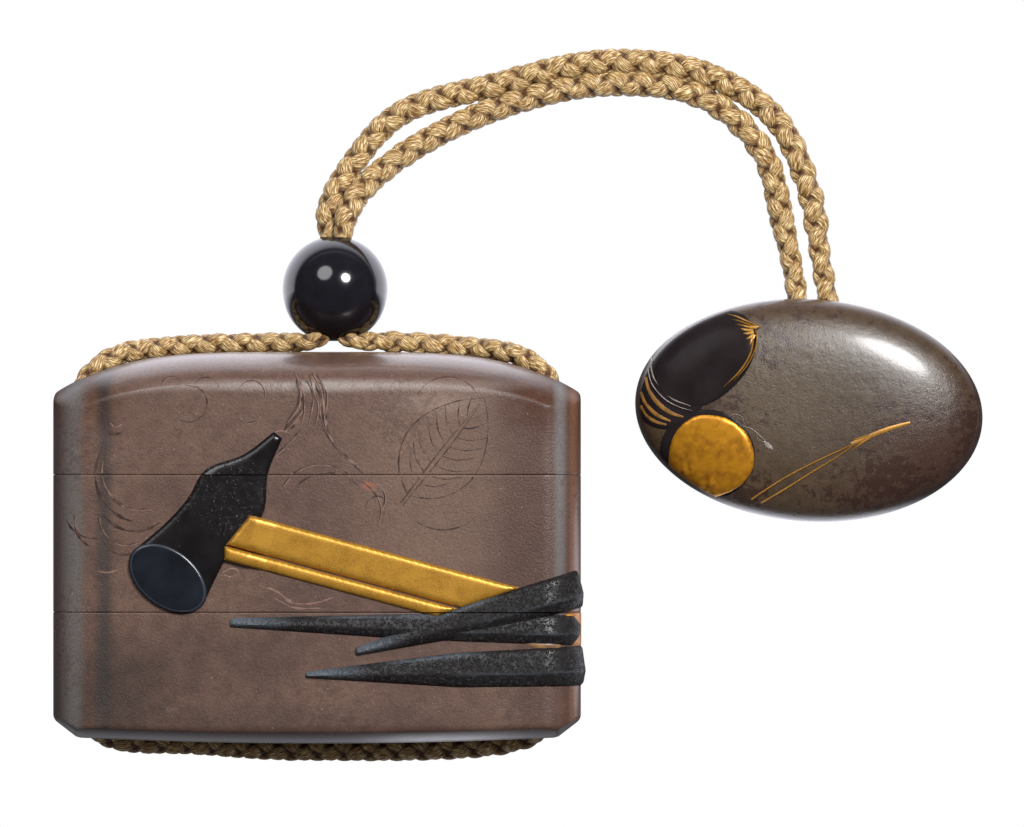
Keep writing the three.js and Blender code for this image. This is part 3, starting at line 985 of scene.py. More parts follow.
@dataclass(frozen=True)
class CordRoute:
    """Where the cord runs, from one end in the toggle to the other, in millimetres."""

    points: tuple[tuple[float, float, float], ...] = (
        (72.5, 27.9, 6.3), (72.2, 34.6, 2.8), (71.1, 41.5, 1.6), (69.7, 50.0, 1.6), (64.8, 60.7, 1.6),
        (54.5, 67.2, 1.6), (40.5, 68.8, 1.6), (25.0, 66.5, 1.6), (10.9, 61.9, 1.8), (3.1, 54.6, 3.1),
        (0.9, 47.4, 5.4), (1.3, 40.0, 6.35), (1.2, 34.8, 6.8), (0.15, 30.6, 8.7),
        (-1.6, 29.45, 8.5), (-5.3, 29.0, 7.2), (-20.0, 28.4, 5.0), (-29.0, 26.8, 9.6),
        (-32.8, 23.2, 11.5), (-33.5, 18.5, 11.5), (-33.5, -19.0, 11.5),
        (-32.9, -23.2, 11.5), (-29.6, -26.7, 9.9), (-17.0, -27.9, 5.6), (-1.5, -28.8, 3.0),
        (29.6, -26.8, 9.9), (32.9, -23.2, 11.5), (33.5, -19.0, 11.5),
        (33.5, 18.5, 11.5), (32.8, 23.2, 11.5), (29.0, 26.8, 9.6), (20.0, 28.4, 5.0),
        (9.9, 29.1, 7.3), (6.2, 29.45, 8.8), (4.6, 30.6, 9.0), (3.7, 34.8, 8.9),
        (3.5, 40.0, 8.85), (4.9, 48.0, 6.6), (10.2, 55.3, 3.4), (24.5, 62.7, 1.6),
        (40.5, 65.1, 1.6), (54.0, 63.3, 1.6), (62.2, 56.0, 1.6), (65.2, 45.5, 1.6), (67.5, 34.6, 2.8),
        (67.6, 27.9, 6.3),
    )
    diameter: float = 3.0
    channel_radius: float = 1.9

    def line(self, spacing: float = 0.5) -> Array:
        """The whole centre line with evenly shared points."""
        return even_line(smooth_line(self.points, 24), spacing)

    def past_case(self) -> Array:
        """The run along the lid, down the case, under it and up again."""
        return even_line(smooth_line(self.points[16:32], 12), 0.7)

    def end_runs(self) -> list[Array]:
        """Both short runs into the toggle, each going on a little deeper than the cord's end."""
        first, last = list(self.points[:4]), list(self.points[-4:])
        first[0] = (first[0][0], first[0][1] - 0.6, first[0][2] + 0.3)
        last[-1] = (last[-1][0], last[-1][1] - 0.6, last[-1][2] + 0.3)
        return [even_line(smooth_line(run, 12), 0.6) for run in (first, last)]


# ---- camera and light
@dataclass(frozen=True)
class Studio:
    """Camera straight above the object, a pale table and soft lights."""

    aim: tuple[float, float] = (27.42, 18.9)
    lit: tuple[float, float] = (2.4, 36.5)
    frame_width: float = 144.4
    subject_height: float = 12.0
    distance: float = 1800.0
    sensor: float = 36.0
    glow: float = 3.0  # the lit glass near the object
    far_glow: float = 0.3  # and far from it
    near: tuple[float, float] = (50.0, 150.0)
    flag_glow: float = 0.12  # under the case, where a dark card lies on the glass
    card: tuple[tuple[str, float, float], ...] = (("X", 110.0, 125.0), ("Y", 28.0, 34.0))
    card_sides: tuple[float, float] = (70.0, 230.0)  # the cards beside it, which fade in over these widths
    south: tuple[float, float] = (-28.0, -22.0)  # the glass below the case, which is mostly covered
    south_share: float = 0.1
    strip: tuple[float, float] = (18.5, 0.4)  # a gap in that cover: its X and its share of the glow
    strip_edge: tuple[float, float] = (2.0, 14.0)
    pool: tuple[float, float, float] = (70.0, -9.0, 0.9)  # a round gap under the toggle: X, Y and share
    pool_edge: tuple[float, float] = (11.0, 24.0)

    def camera(self) -> Object:
        """Makes the camera and gives it to the scene."""
        data = bpy.data.cameras.new("camera")
        data.sensor_width = self.sensor
        data.lens = self.sensor * (self.distance - self.subject_height) / self.frame_width
        data.clip_start, data.clip_end = 0.05, 20.0
        camera = bpy.data.objects.new("camera", data)
        camera.location = (self.aim[0] * MM, self.aim[1] * MM, self.distance * MM)
        bpy.context.scene.collection.objects.link(camera)
        bpy.context.scene.camera = camera
        return camera

    def lamp(
        self, name: str, azimuth: float, from_zenith: float, away_mm: float, width_degrees: float,
        glow: float,
    ) -> None:
        """Hangs one round soft lamp that points at the object.

        Args:
            name: the lamp's name.
            azimuth: its direction in degrees, from +X towards +Y.
            from_zenith: its angle away from straight above, in degrees.
            away_mm: its distance.
            width_degrees: how wide it looks from the object.
            glow: its radiance.
        """
        distance = away_mm * MM
        width = 2 * distance * math.tan(math.radians(width_degrees / 2))
        data = bpy.data.lights.new(name, "AREA")
        data.shape, data.size, data.energy = "DISK", width, glow * math.pi * math.pi * (width / 2) ** 2
        lamp = bpy.data.objects.new(name, data)
        turn, lean = math.radians(azimuth), math.radians(from_zenith)
        away = Vector((math.sin(lean) * math.cos(turn), math.sin(lean) * math.sin(turn), math.cos(lean)))
        lamp.location = Vector((self.lit[0] * MM, self.lit[1] * MM, 0.012)) + away * distance
        lamp.rotation_mode = "QUATERNION"
        lamp.rotation_quaternion = away.to_track_quat("Z", "Y")
        lamp.visible_camera = False
        bpy.context.scene.collection.objects.link(lamp)

    def lights(self) -> None:
        """Hangs the lamps and sets the dim room round them."""
        self.lamp("key", 45, 34, 750, 17, 58.0)
        self.lamp("fill", 122, 41, 650, 30, 5.5)
        world = bpy.data.worlds.new("room")
        world.use_nodes = True
        tree = world.node_tree
        tree.nodes.clear()
        way = add(tree, "SeparateXYZ", {0: add(tree, "TexCoord").outputs["Generated"]})
        height = add(tree, "MapRange", {"Value": way.outputs["Z"], "From Min": -1.0, "From Max": 1.0})
        room = add(
            tree, "ValToRGB", {"Fac": height},
            stops=[
                (0.45, "#3c3c3e"), (0.5, "#9a98a8"), (0.56, "#5c5c60"), (0.66, "#4c4c50"), (1.0, "#48484a"),
            ],
        )
        plain = add(
            tree, "ValToRGB", {"Fac": height},
            stops=[(0.5, "#3c3c3e"), (0.56, "#464648"), (0.66, "#4c4c50"), (1.0, "#48484a")],
        )
        north = add(tree, "MapRange", {"Value": way.outputs["Y"], "From Min": 0.6, "From Max": 0.95})
        sides = add(tree, "Mix", {"Factor": north, "A": plain, "B": room}, data_type="RGBA")
        background = add(tree, "Background", {"Color": sides, "Strength": 2.4})
        add(tree, "OutputWorld", {"Surface": background})
        bpy.context.scene.world = world
        bpy.context.scene.view_settings.view_transform = "Standard"

    def _sheet(self, name: str, depth: float, material: Material) -> Object:
        """Lays a wide level sheet just below the object's underside."""
        half = 3000.0
        corners = np.array(
            [(-half, -half, depth), (half, -half, depth), (half, half, depth), (-half, half, depth)],
        )
        sheet = make_object(name, corners, [(0, 1, 2, 3)], material)
        return sheet

    def table(self) -> None:
        """Lays the pale table, and the lit glass under it that only polished surfaces mirror."""
        white, tree, _ = new_material("matt_white_table")
        finished(white, add(tree, "Emission", {"Color": linear("#ffffff"), "Strength": 1.0}))
        table = self._sheet("table", -0.03, white)
        table.visible_glossy = table.visible_diffuse = table.visible_shadow = False
        lit, tree, where = new_material("lit_glass")
        place = add(tree, "SeparateXYZ", {0: where})
        soft = {"interpolation_type": "SMOOTHSTEP"}
        masks = []
        for axis, *ends in self.card:
            size = add(tree, "Math", {0: place.outputs[axis]}, operation="ABSOLUTE")
            masks.append(add(tree, "MapRange", span(size, ends, 0.0, 1.0)))
        either = add(tree, "Math", {0: masks[0], 1: masks[1]}, operation="MAXIMUM")
        beside = add(tree, "Math", {0: place.outputs["X"], 1: self.strip[0] * MM}, operation="SUBTRACT")
        aside = add(tree, "Math", {0: beside}, operation="ABSOLUTE")
        strip = add(tree, "MapRange", span(aside, self.strip_edge, self.strip[1], self.south_share), **soft)
        south = add(tree, "MapRange", span(place.outputs["Y"], self.south, strip, 1.0))
        across = add(tree, "Math", {0: place.outputs["X"]}, operation="ABSOLUTE")
        sideways = add(tree, "MapRange", span(across, self.card_sides, 1.0, 0.0), **soft)
        ahead = add(tree, "Math", {0: either, 1: south}, operation="MULTIPLY")
        open_glass = add(tree, "Math", {0: ahead, 1: sideways}, operation="MULTIPLY")
        middle = (self.pool[0] * MM, self.pool[1] * MM, 0.0)
        away = add(tree, "VectorMath", {0: where, 1: middle}, operation="DISTANCE")
        pool = add(tree, "MapRange", span(away, self.pool_edge, self.pool[2], 0.0), **soft)
        open_glass = add(tree, "Math", {0: open_glass, 1: pool}, operation="MAXIMUM")
        far = add(tree, "VectorMath", {0: where}, operation="LENGTH")
        near = add(tree, "MapRange", span(far, self.near, self.glow, self.far_glow), **soft)
        glow = add(tree, "MapRange", {"Value": open_glass, "To Min": self.flag_glow, "To Max": near})
        finished(lit, add(tree, "Emission", {"Color": linear("#eeeef8"), "Strength": glow}))
        glass = self._sheet("lit_glass", -0.06, lit)
        glass.visible_camera = glass.visible_diffuse = glass.visible_shadow = False


# ---- the cord
@dataclass(frozen=True)
class BraidedCord:
    """Round braid of four plump silk strands: two turn one way and two the other, over and under."""

    route: CordRoute
    bead_at: tuple[float, float, float] = (2.4, 36.5, 7.6)
    period: float = 7.6
    strand_circle: float = 0.63
    weave: float = 0.21
    linger: float = 0.62
    strand_wide: float = 1.12
    strand_thick: float = 0.8
    swell: float = 0.16
    tight: float = 0.82
    outer: float = 1.64
    spread: float = 0.18
    sides: int = 12
    step: float = 0.36
    eased: tuple[tuple[int, float, float, float], ...] = (
        (7, 0.0, -1.0, 0.0), (8, 0.5, -0.6, 0.0), (9, 1.4, -0.9, 0.0), (10, 0.55, 0.0, 0.0),
        (11, 0.45, 0.0, 0.0), (13, 0.85, -0.2, 1.4), (14, 1.15, -0.2, 1.6), (15, 0.95, -0.1, 0.8),
        (32, -1.1, 0.0, 0.7), (33, -1.45, -0.2, 1.3), (34, -0.9, -0.3, 1.1), (36, -0.1, 0.0, 0.0),
        (37, -0.4, 0.0, 0.0), (38, 0.5, -0.7, 0.0), (39, 0.0, -0.8, 0.0), (40, 0.0, 0.5, 0.0),
        (41, 0.3, 0.55, 0.0), (42, 0.6, 0.3, 0.0), (43, 0.7, 0.0, 0.0), (44, 0.4, 0.0, 0.0),
    )

    def line(self, spacing: float) -> Array:
        """The braid's middle line: the cord's route, eased a little aside near the bead."""
        points = np.array(self.route.points)
        for number, *shift in self.eased:
            points[number] += shift
        return even_line(smooth_line(points, 24), spacing)

    def _grip(self, line: Array) -> Array:
        """How far the braid is drawn together at each point: most of all in the bead."""
        near = np.clip((np.linalg.norm(line - np.array(self.bead_at), axis=1) - 8.2) / 2.6, 0, 1)
        return self.tight + (1 - self.tight) * near * near * (3 - 2 * near)

    def _spread(self, line: Array) -> Array:
        """How much wider the braid lies where it rests loose on the table."""
        free = np.clip((line[:, 1] - 42.5) / 4.0, 0, 1)
        return 1 + self.spread * free

    def build(self, silk: Material) -> Object:
        """Makes the four strands as one mesh with a UV map along them.

        Args:
            silk: the strands' finish.

        Returns:
            The braid.
        """
        line = self.line(self.step)
        up, level = frames_along(line)
        grip, spread = self._grip(line), self._spread(line)
        run = np.arange(len(line)) * np.linalg.norm(line[1] - line[0])
        angle = 2 * math.pi * run / self.period
        loose = 0.09 * noise_line(run, 2.3, 4.0) + 0.4 * noise_line(run, 31.0, 9.0)
        # painted shadow: darker where the cord runs under the case
        shade_under_case = 0.05 * np.clip((-23.5 - line[:, 1]) / 2.5, 0, 1)
        vertices, faces, around, along, tuck = [], [], [], [], []
        turns = 2 * math.pi * np.arange(self.sides) / self.sides
        for way in (1, -1):
            for start in (0.0, math.pi):
                above = way * np.cos(2 * angle)
                above = np.sign(above) * np.abs(above) ** 0.7
                turned = way * angle - 0.5 * self.linger * np.sin(2 * angle)
                theta = turned + start + math.pi / 4 + loose
                reach = grip * (self.strand_circle + self.weave * above)
                out = np.cos(theta)[:, None] * level + np.sin(theta)[:, None] * up
                centre = line + reach[:, None] * out
                tangent = unit(np.gradient(centre, axis=0))
                out = unit(out - tangent * (out * tangent).sum(1)[:, None])
                side = np.cross(tangent, out)
                first = len(vertices) * self.sides
                plump = grip * (1 + self.swell * (above - 1) / 2)
                for i in range(len(line)):
                    ring = (
                        centre[i]
                        + plump[i] * self.strand_wide * np.cos(turns)[:, None] * side[i]
                        + plump[i] * self.strand_thick * np.sin(turns)[:, None] * out[i]
                    )
                    # painted shade: darker deeper in the braid and at the lobes' ends, where strands tuck
                    # under
                    depth = 1 - np.linalg.norm(ring - line[i], axis=1) / (self.outer * grip[i])
                    tuck.append(depth + 0.07 * (1 - max(0.0, above[i])) + shade_under_case[i])
                    aside = (ring - line[i]) @ level[i]
                    vertices.append(ring + (spread[i] - 1) * aside[:, None] * level[i])
                length = run_along(centre)
                for i in range(len(line) - 1):
                    low, high = first + i * self.sides, first + (i + 1) * self.sides
                    for k in range(self.sides):
                        after = (k + 1) % self.sides
                        faces.append((low + k, high + k, high + after, low + after))
                        around += [k, k, k + 1, k + 1]
                        along += [length[i], length[i + 1], length[i + 1], length[i]]
                for ring, order in ((first, 1), (first + (len(line) - 1) * self.sides, -1)):
                    faces.append(tuple(range(ring, ring + self.sides))[::order])
                    around += [0] * self.sides
                    along += [0] * self.sides
        braid = make_object("silk_braid", np.vstack(vertices), faces, silk, crease_degrees=80)
        uv = braid.data.uv_layers.new(name="strand")
        flat = np.column_stack([np.array(around) / self.sides, np.array(along)]).astype(np.float32)
        uv.data.foreach_set("uv", flat.ravel())
        tucked = braid.data.attributes.new("tucked", "FLOAT", "POINT")
        tucked.data.foreach_set("value", np.concatenate(tuck).astype(np.float32))
        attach(braid, BODY)
        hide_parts("cord")
        return braid

    def past_bead(self) -> list[Array]:
        """Both runs through the bead and out of its foot."""
        line = self.line(0.4)
        near = np.flatnonzero(np.linalg.norm(line - np.array(self.bead_at), axis=1) < 13.0)
        return list(map(line.__getitem__, np.split(near, np.flatnonzero(np.diff(near) > 1) + 1)))

    def declare(self) -> None:
        """Works out the cord's line at a coarse spacing and does nothing more with it."""
        line = self.line(1.5)


# ---- the bead
@dataclass(frozen=True)
class Bead:
    """The sliding bead that both runs of the cord pass through."""

    x: float = 2.4
    y: float = 36.5
    radius: float = 7.6
    bore: float = 1.6
    mouth_round: float = 0.35
    cord_room: float = 1.4
    segments: int = 96

    def build(self, runs: Sequence[Array], lacquer: Material) -> Object:
        """Turns the bead about its bore and opens its foot for the cord's two turns.

        Args:
            runs: the cord's middle lines through the bead and out of its foot.
            lacquer: the bead's finish.

        Returns:
            The bead.
        """
        pole = math.asin((self.bore + self.mouth_round) / self.radius)
        ball = [
            (self.radius * math.sin(a), -self.radius * math.cos(a))
            for a in np.linspace(pole, math.pi - pole, 72)
        ]
        mouth_y = ball[-1][1]
        lip = [
            (self.bore + self.mouth_round * (1 - math.sin(t)), mouth_y - self.mouth_round * (1 - math.cos(t)))
            for t in np.linspace(0, math.pi / 2, 7)[1:]
        ]
        profile = ball + lip + [(x, -y) for x, y in lip[::-1]]
        turns = 2 * math.pi * np.arange(self.segments) / self.segments
        rings = [
            np.column_stack([
                    self.x + r * np.cos(turns), np.full(self.segments, self.y + y),
                    self.radius - r * np.sin(turns),
])
            for r, y in [*profile, profile[0]]
        ]
        vertices, faces = loft(rings[:-1], cap_start=False, cap_end=False)
        count, last = self.segments, (len(rings) - 2) * self.segments
        faces += [(last + i, last + (i + 1) % count, (i + 1) % count, i) for i in range(count)]
        bead = make_object("polished_bead", vertices, faces, lacquer, crease_degrees=60)
        for run in runs:
            turn = run[run[:, 1] < self.y - 6.4]
            for path, lifts in ((run, (0.0,)), (turn, (1.2, 2.4, 3.6))):
                for lift in lifts:
                    notch = make_object("notch", *tube(path + [0, 0, lift], self.cord_room, 20))
                    combine(bead, notch, Join.CUT, crease_degrees=50)
        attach(bead, BODY)
        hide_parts("ojime")
        return bead


# ---- the toggle
@dataclass(frozen=True)
class Oval:
    """An oval piece of raised lacquer: its middle, half axes, turn in degrees and rise."""

    x: float
    y: float
    half_length: float
    half_width: float
    angle: float
    rise: float

    def outline(self, count: int = 72, uneven: float = 0.0) -> Array:
        """Points round it; uneven is how far its edge wanders."""
        turns = 2 * math.pi * np.arange(count) / count
        waves = np.sin(3 * turns + 0.7) + 0.6 * np.sin(5 * turns + 2.1) + 0.35 * np.sin(9 * turns)
        wander = 1 + uneven * waves
        local = wander * np.array([self.half_length * np.cos(turns), self.half_width * np.sin(turns)])
        return local.T @ turning(self.angle) + [self.x, self.y]


@dataclass(frozen=True)
class Toggle:
    """The egg-shaped toggle with an acorn in its cup, a round nut and a pair of pine needles."""

    route: CordRoute
    x: float = 69.4
    y: float = 19.35
    half_length: float = 24.6
    half_width: float = 15.75
    half_height: float = 6.7
    power: float = 3.1
    tilt: float = -4.1
    flat: float = 0.1
    acorn: Oval = Oval(54.4, 26.5, 8.5, 5.7, 40, 0.55)
    cup: Oval = Oval(49.6, 21.7, 5.2, 4.9, 38, 0.3)
    nut: Oval = Oval(55.5, 13.0, 6.05, 5.8, -20, 0.45)
    shade_of_nut: Oval = Oval(55.0, 13.2, 6.72, 6.25, -20, 0.2)
    needles: tuple[Stroke, ...] = (
        Stroke(((61.2, 6.8), (63.3, 8.2), (66.0, 9.9), (70.0, 12.0), (75.6, 14.6)), 0.26, (1.0, 0.8)),
        Stroke(((62.6, 6.3), (66.0, 8.3), (70.0, 10.8), (73.6, 13.0), (75.6, 14.5)), 0.26, (1.0, 0.8)),
        Stroke(((75.2, 14.6), (77.6, 15.6), (80.4, 16.7), (83.5, 17.6)), 0.62, (0.75, 0.7)),
        Stroke(((75.4, 15.2), (76.4, 15.4), (77.8, 15.8)), 0.35, (0.2, 1.0)),
        Stroke(((75.6, 13.9), (76.5, 14.6), (77.8, 15.4)), 0.35, (0.2, 1.0)),
    )
    acorn_gold: tuple[Stroke, ...] = (
        Stroke(((57.2, 22.6), (59.6, 25.0), (61.1, 27.6), (61.4, 30.0)), 0.24, (0.3, 1.0)),
        Stroke(((58.6, 23.4), (60.6, 25.8), (61.8, 28.4), (61.9, 30.6)), 0.16, (0.3, 1.0)),
        Stroke(((57.9, 32.9), (59.3, 32.5), (60.6, 31.9), (62.1, 31.2)), 0.24, (0.5, 0.6)),
        Stroke(((58.3, 32.2), (59.6, 31.9), (60.6, 31.5), (61.6, 31.1)), 0.22, (0.2, 1.0)),
        Stroke(((59.0, 31.5), (60.0, 31.3), (60.8, 31.1), (61.5, 30.9)), 0.24, (0.2, 1.0)),
        Stroke(((59.6, 30.9), (60.4, 30.7), (61.4, 30.6)), 0.34, (0.2, 1.0)),
        Stroke(((60.0, 30.2), (60.7, 30.2), (61.5, 30.4)), 0.36, (0.2, 1.0)),
        Stroke(((60.4, 29.4), (60.9, 29.6), (61.5, 30.1)), 0.36, (0.2, 1.0)),
        Stroke(((60.9, 28.6), (61.2, 29.2), (61.6, 30.0)), 0.34, (0.2, 1.0)),
        Stroke(((61.0, 31.1), (61.6, 31.1), (62.4, 31.2)), 0.5, (1.0, 0.2)),
    )
    cup_gold: tuple[Stroke, ...] = (
        Stroke(((46.3, 24.0), (46.9, 21.9), (48.3, 20.1), (50.1, 18.9), (51.6, 18.4)), 0.6, (0.7, 0.4)),
        Stroke(((45.6, 21.9), (46.4, 20.2), (47.9, 18.7), (49.8, 17.8)), 0.55, (0.7, 0.4)),
        Stroke(((45.6, 20.0), (46.3, 18.8), (47.6, 17.8), (49.2, 17.3)), 0.45, (0.8, 0.5)),
    )
    acorn_silver: tuple[Stroke, ...] = (
        Stroke(((47.1, 27.0), (47.1, 25.2), (47.7, 23.5), (49.7, 21.2), (52.6, 19.9)), 0.3, (0.3, 0.4)),
        Stroke(((46.6, 25.2), (47.1, 23.2), (49.0, 20.9), (51.0, 19.8), (52.8, 19.3)), 0.16, (0.3, 0.4)),
    )
    silver: tuple[Stroke, ...] = (
        Stroke(((58.0, 18.5), (58.9, 18.8), (59.8, 18.4), (60.2, 17.4)), 0.12, (0.4, 0.4)),
        Stroke(((60.0, 17.1), (61.2, 16.7), (62.4, 15.7), (63.4, 14.7)), 0.14, (0.5, 0.6)),
        Stroke(((61.9, 16.3), (62.0, 15.4), (62.8, 14.8)), 0.1, (0.6, 0.3)),
        Stroke(((62.9, 15.0), (63.4, 14.5), (64.2, 13.8)), 0.62, (0.15, 0.1)),
    )

    def surface(self, points: Array) -> Array:
        """The egg's upper surface above rows of X and Y."""
        lean = math.radians(self.tilt)
        dx, dy = points[:, 0] - self.x, points[:, 1] - self.y
        u = (dx * math.cos(lean) + dy * math.sin(lean)) / self.half_length
        v = (-dx * math.sin(lean) + dy * math.cos(lean)) / self.half_width
        high = np.maximum(1e-5, 1 - np.hypot(u, v) ** self.power) ** (1 / self.power)
        z = self.half_height * (1 + high) - self.flat
        return np.column_stack([points[:, 0], points[:, 1], z])

    def build(self, ground: Material) -> Object:
        """Makes the egg with its flat spot and the cord's two holes."""
        lean = math.radians(self.tilt)
        turns = 2 * math.pi * np.arange(144) / 144
        rings = []
        for polar in np.linspace(math.pi - 0.004, 0.004, 96):
            reach = math.sin(polar) ** (2 / self.power)
            high = math.copysign(abs(math.cos(polar)) ** (2 / self.power), math.cos(polar))
            u, v = self.half_length * reach * np.cos(turns), self.half_width * reach * np.sin(turns)
            z = self.half_height * (1 + high) - self.flat
            rings.append(
                np.column_stack([
                        self.x + u * math.cos(lean) - v * math.sin(lean),
                        self.y + u * math.sin(lean) + v * math.cos(lean), np.full(144, z),
])
            )
        egg = make_object("toggle_egg", *loft(rings), ground)
        under = np.array([(-90, -90), (90, -90), (90, 90), (-90, 90)], float) + [self.x, self.y]
        slab = [np.column_stack([under, np.full(4, z)]) for z in (-20.0, 0.0)]
        combine(egg, make_object("slab", *loft(slab)), Join.CUT)
        for run in self.route.end_runs():
            combine(egg, make_object("hole", *tube(run, self.route.channel_radius, 24)), Join.CUT)
        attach(egg, BODY)
        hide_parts("netsuke")
        return egg

    def _inside_rim(self, outline: Array, share: float = 0.97) -> Array:
        """Draws in the points of an outline that lie beyond a share of the egg's own outline."""
        spin, middle, half = turning(self.tilt), [self.x, self.y], [self.half_length, self.half_width]
        local = (outline - middle) @ spin.T / half
        local *= np.minimum(1, share / np.linalg.norm(local, axis=1))[:, None]
        return (local * half) @ spin + middle

    def _pitted(self, points: Array, far: Array) -> Array:
        """The nut's skin: a faint wave, and crumbled lumps at its lower left."""
        wave, lumps = roughened(2.4, 0.05, 3.0), roughened(0.8, 0.3, 7.0)
        low = np.exp(-((points[:, 0] - 51.6) ** 2 + (points[:, 1] - 11.2) ** 2) / 2.6)
        low += np.exp(-((points[:, 0] - 55.4) ** 2 + (points[:, 1] - 9.3) ** 2) / 2.0)
        return wave(points, far) + lumps(points, far) * np.minimum(1, low)

    def _over(self, extra: float) -> Surface:
        """The egg's surface lifted by extra, where lines lie on its raised pieces."""
        return lambda points: self.surface(points) + [0, 0, extra]

    def ornament(
        self, black: Material, gold: Material, line_gold: Material, ochre: Material, silver: Material,
    ) -> list[Object]:
        """Lays the raised motifs on the egg.

        Args:
            black: the acorn's and the cup's finish.
            gold: the nut's finish.
            line_gold: the finish of the gold lines.
            ochre: the finish of the cup's bands.
            silver: the finish of the pale lines.

        Returns:
            The motifs' pieces.
        """
        ovals = (self.cup, self.shade_of_nut, self.acorn)
        cup, shade, acorn = (self._inside_rim(oval.outline()) for oval in ovals)
        pieces = [
            RaisedPatch("acorn_cup", cup, self.surface, self.cup.rise, 1.2).build(black),
            RaisedPatch("nut_shade", shade, self.surface, self.shade_of_nut.rise).build(black),
            RaisedPatch("acorn", acorn, self.surface, self.acorn.rise, 2.6).build(black),
            RaisedPatch(
                "nut", self._inside_rim(self.nut.outline(uneven=0.012)), self.surface, self.nut.rise, 1.0,
                self._pitted,
            ).build(gold),
            StrokeWork("pine_needles", self.needles, self.surface, 0.18).build(line_gold),
            StrokeWork("acorn_rays", self.acorn_gold, self._over(0.5), 0.12, sink=0.5).build(line_gold),
            StrokeWork("cup_bands", self.cup_gold, self._over(0.28), 0.12, sink=0.3).build(ochre),
            StrokeWork("acorn_silver", self.acorn_silver, self._over(0.42), 0.1, sink=0.5).build(silver),
            StrokeWork("silver_lines", self.silver, self._over(0.05), 0.1, sink=0.3).build(silver),
        ]
        for piece in pieces:
            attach(piece, BODY)
        return pieces


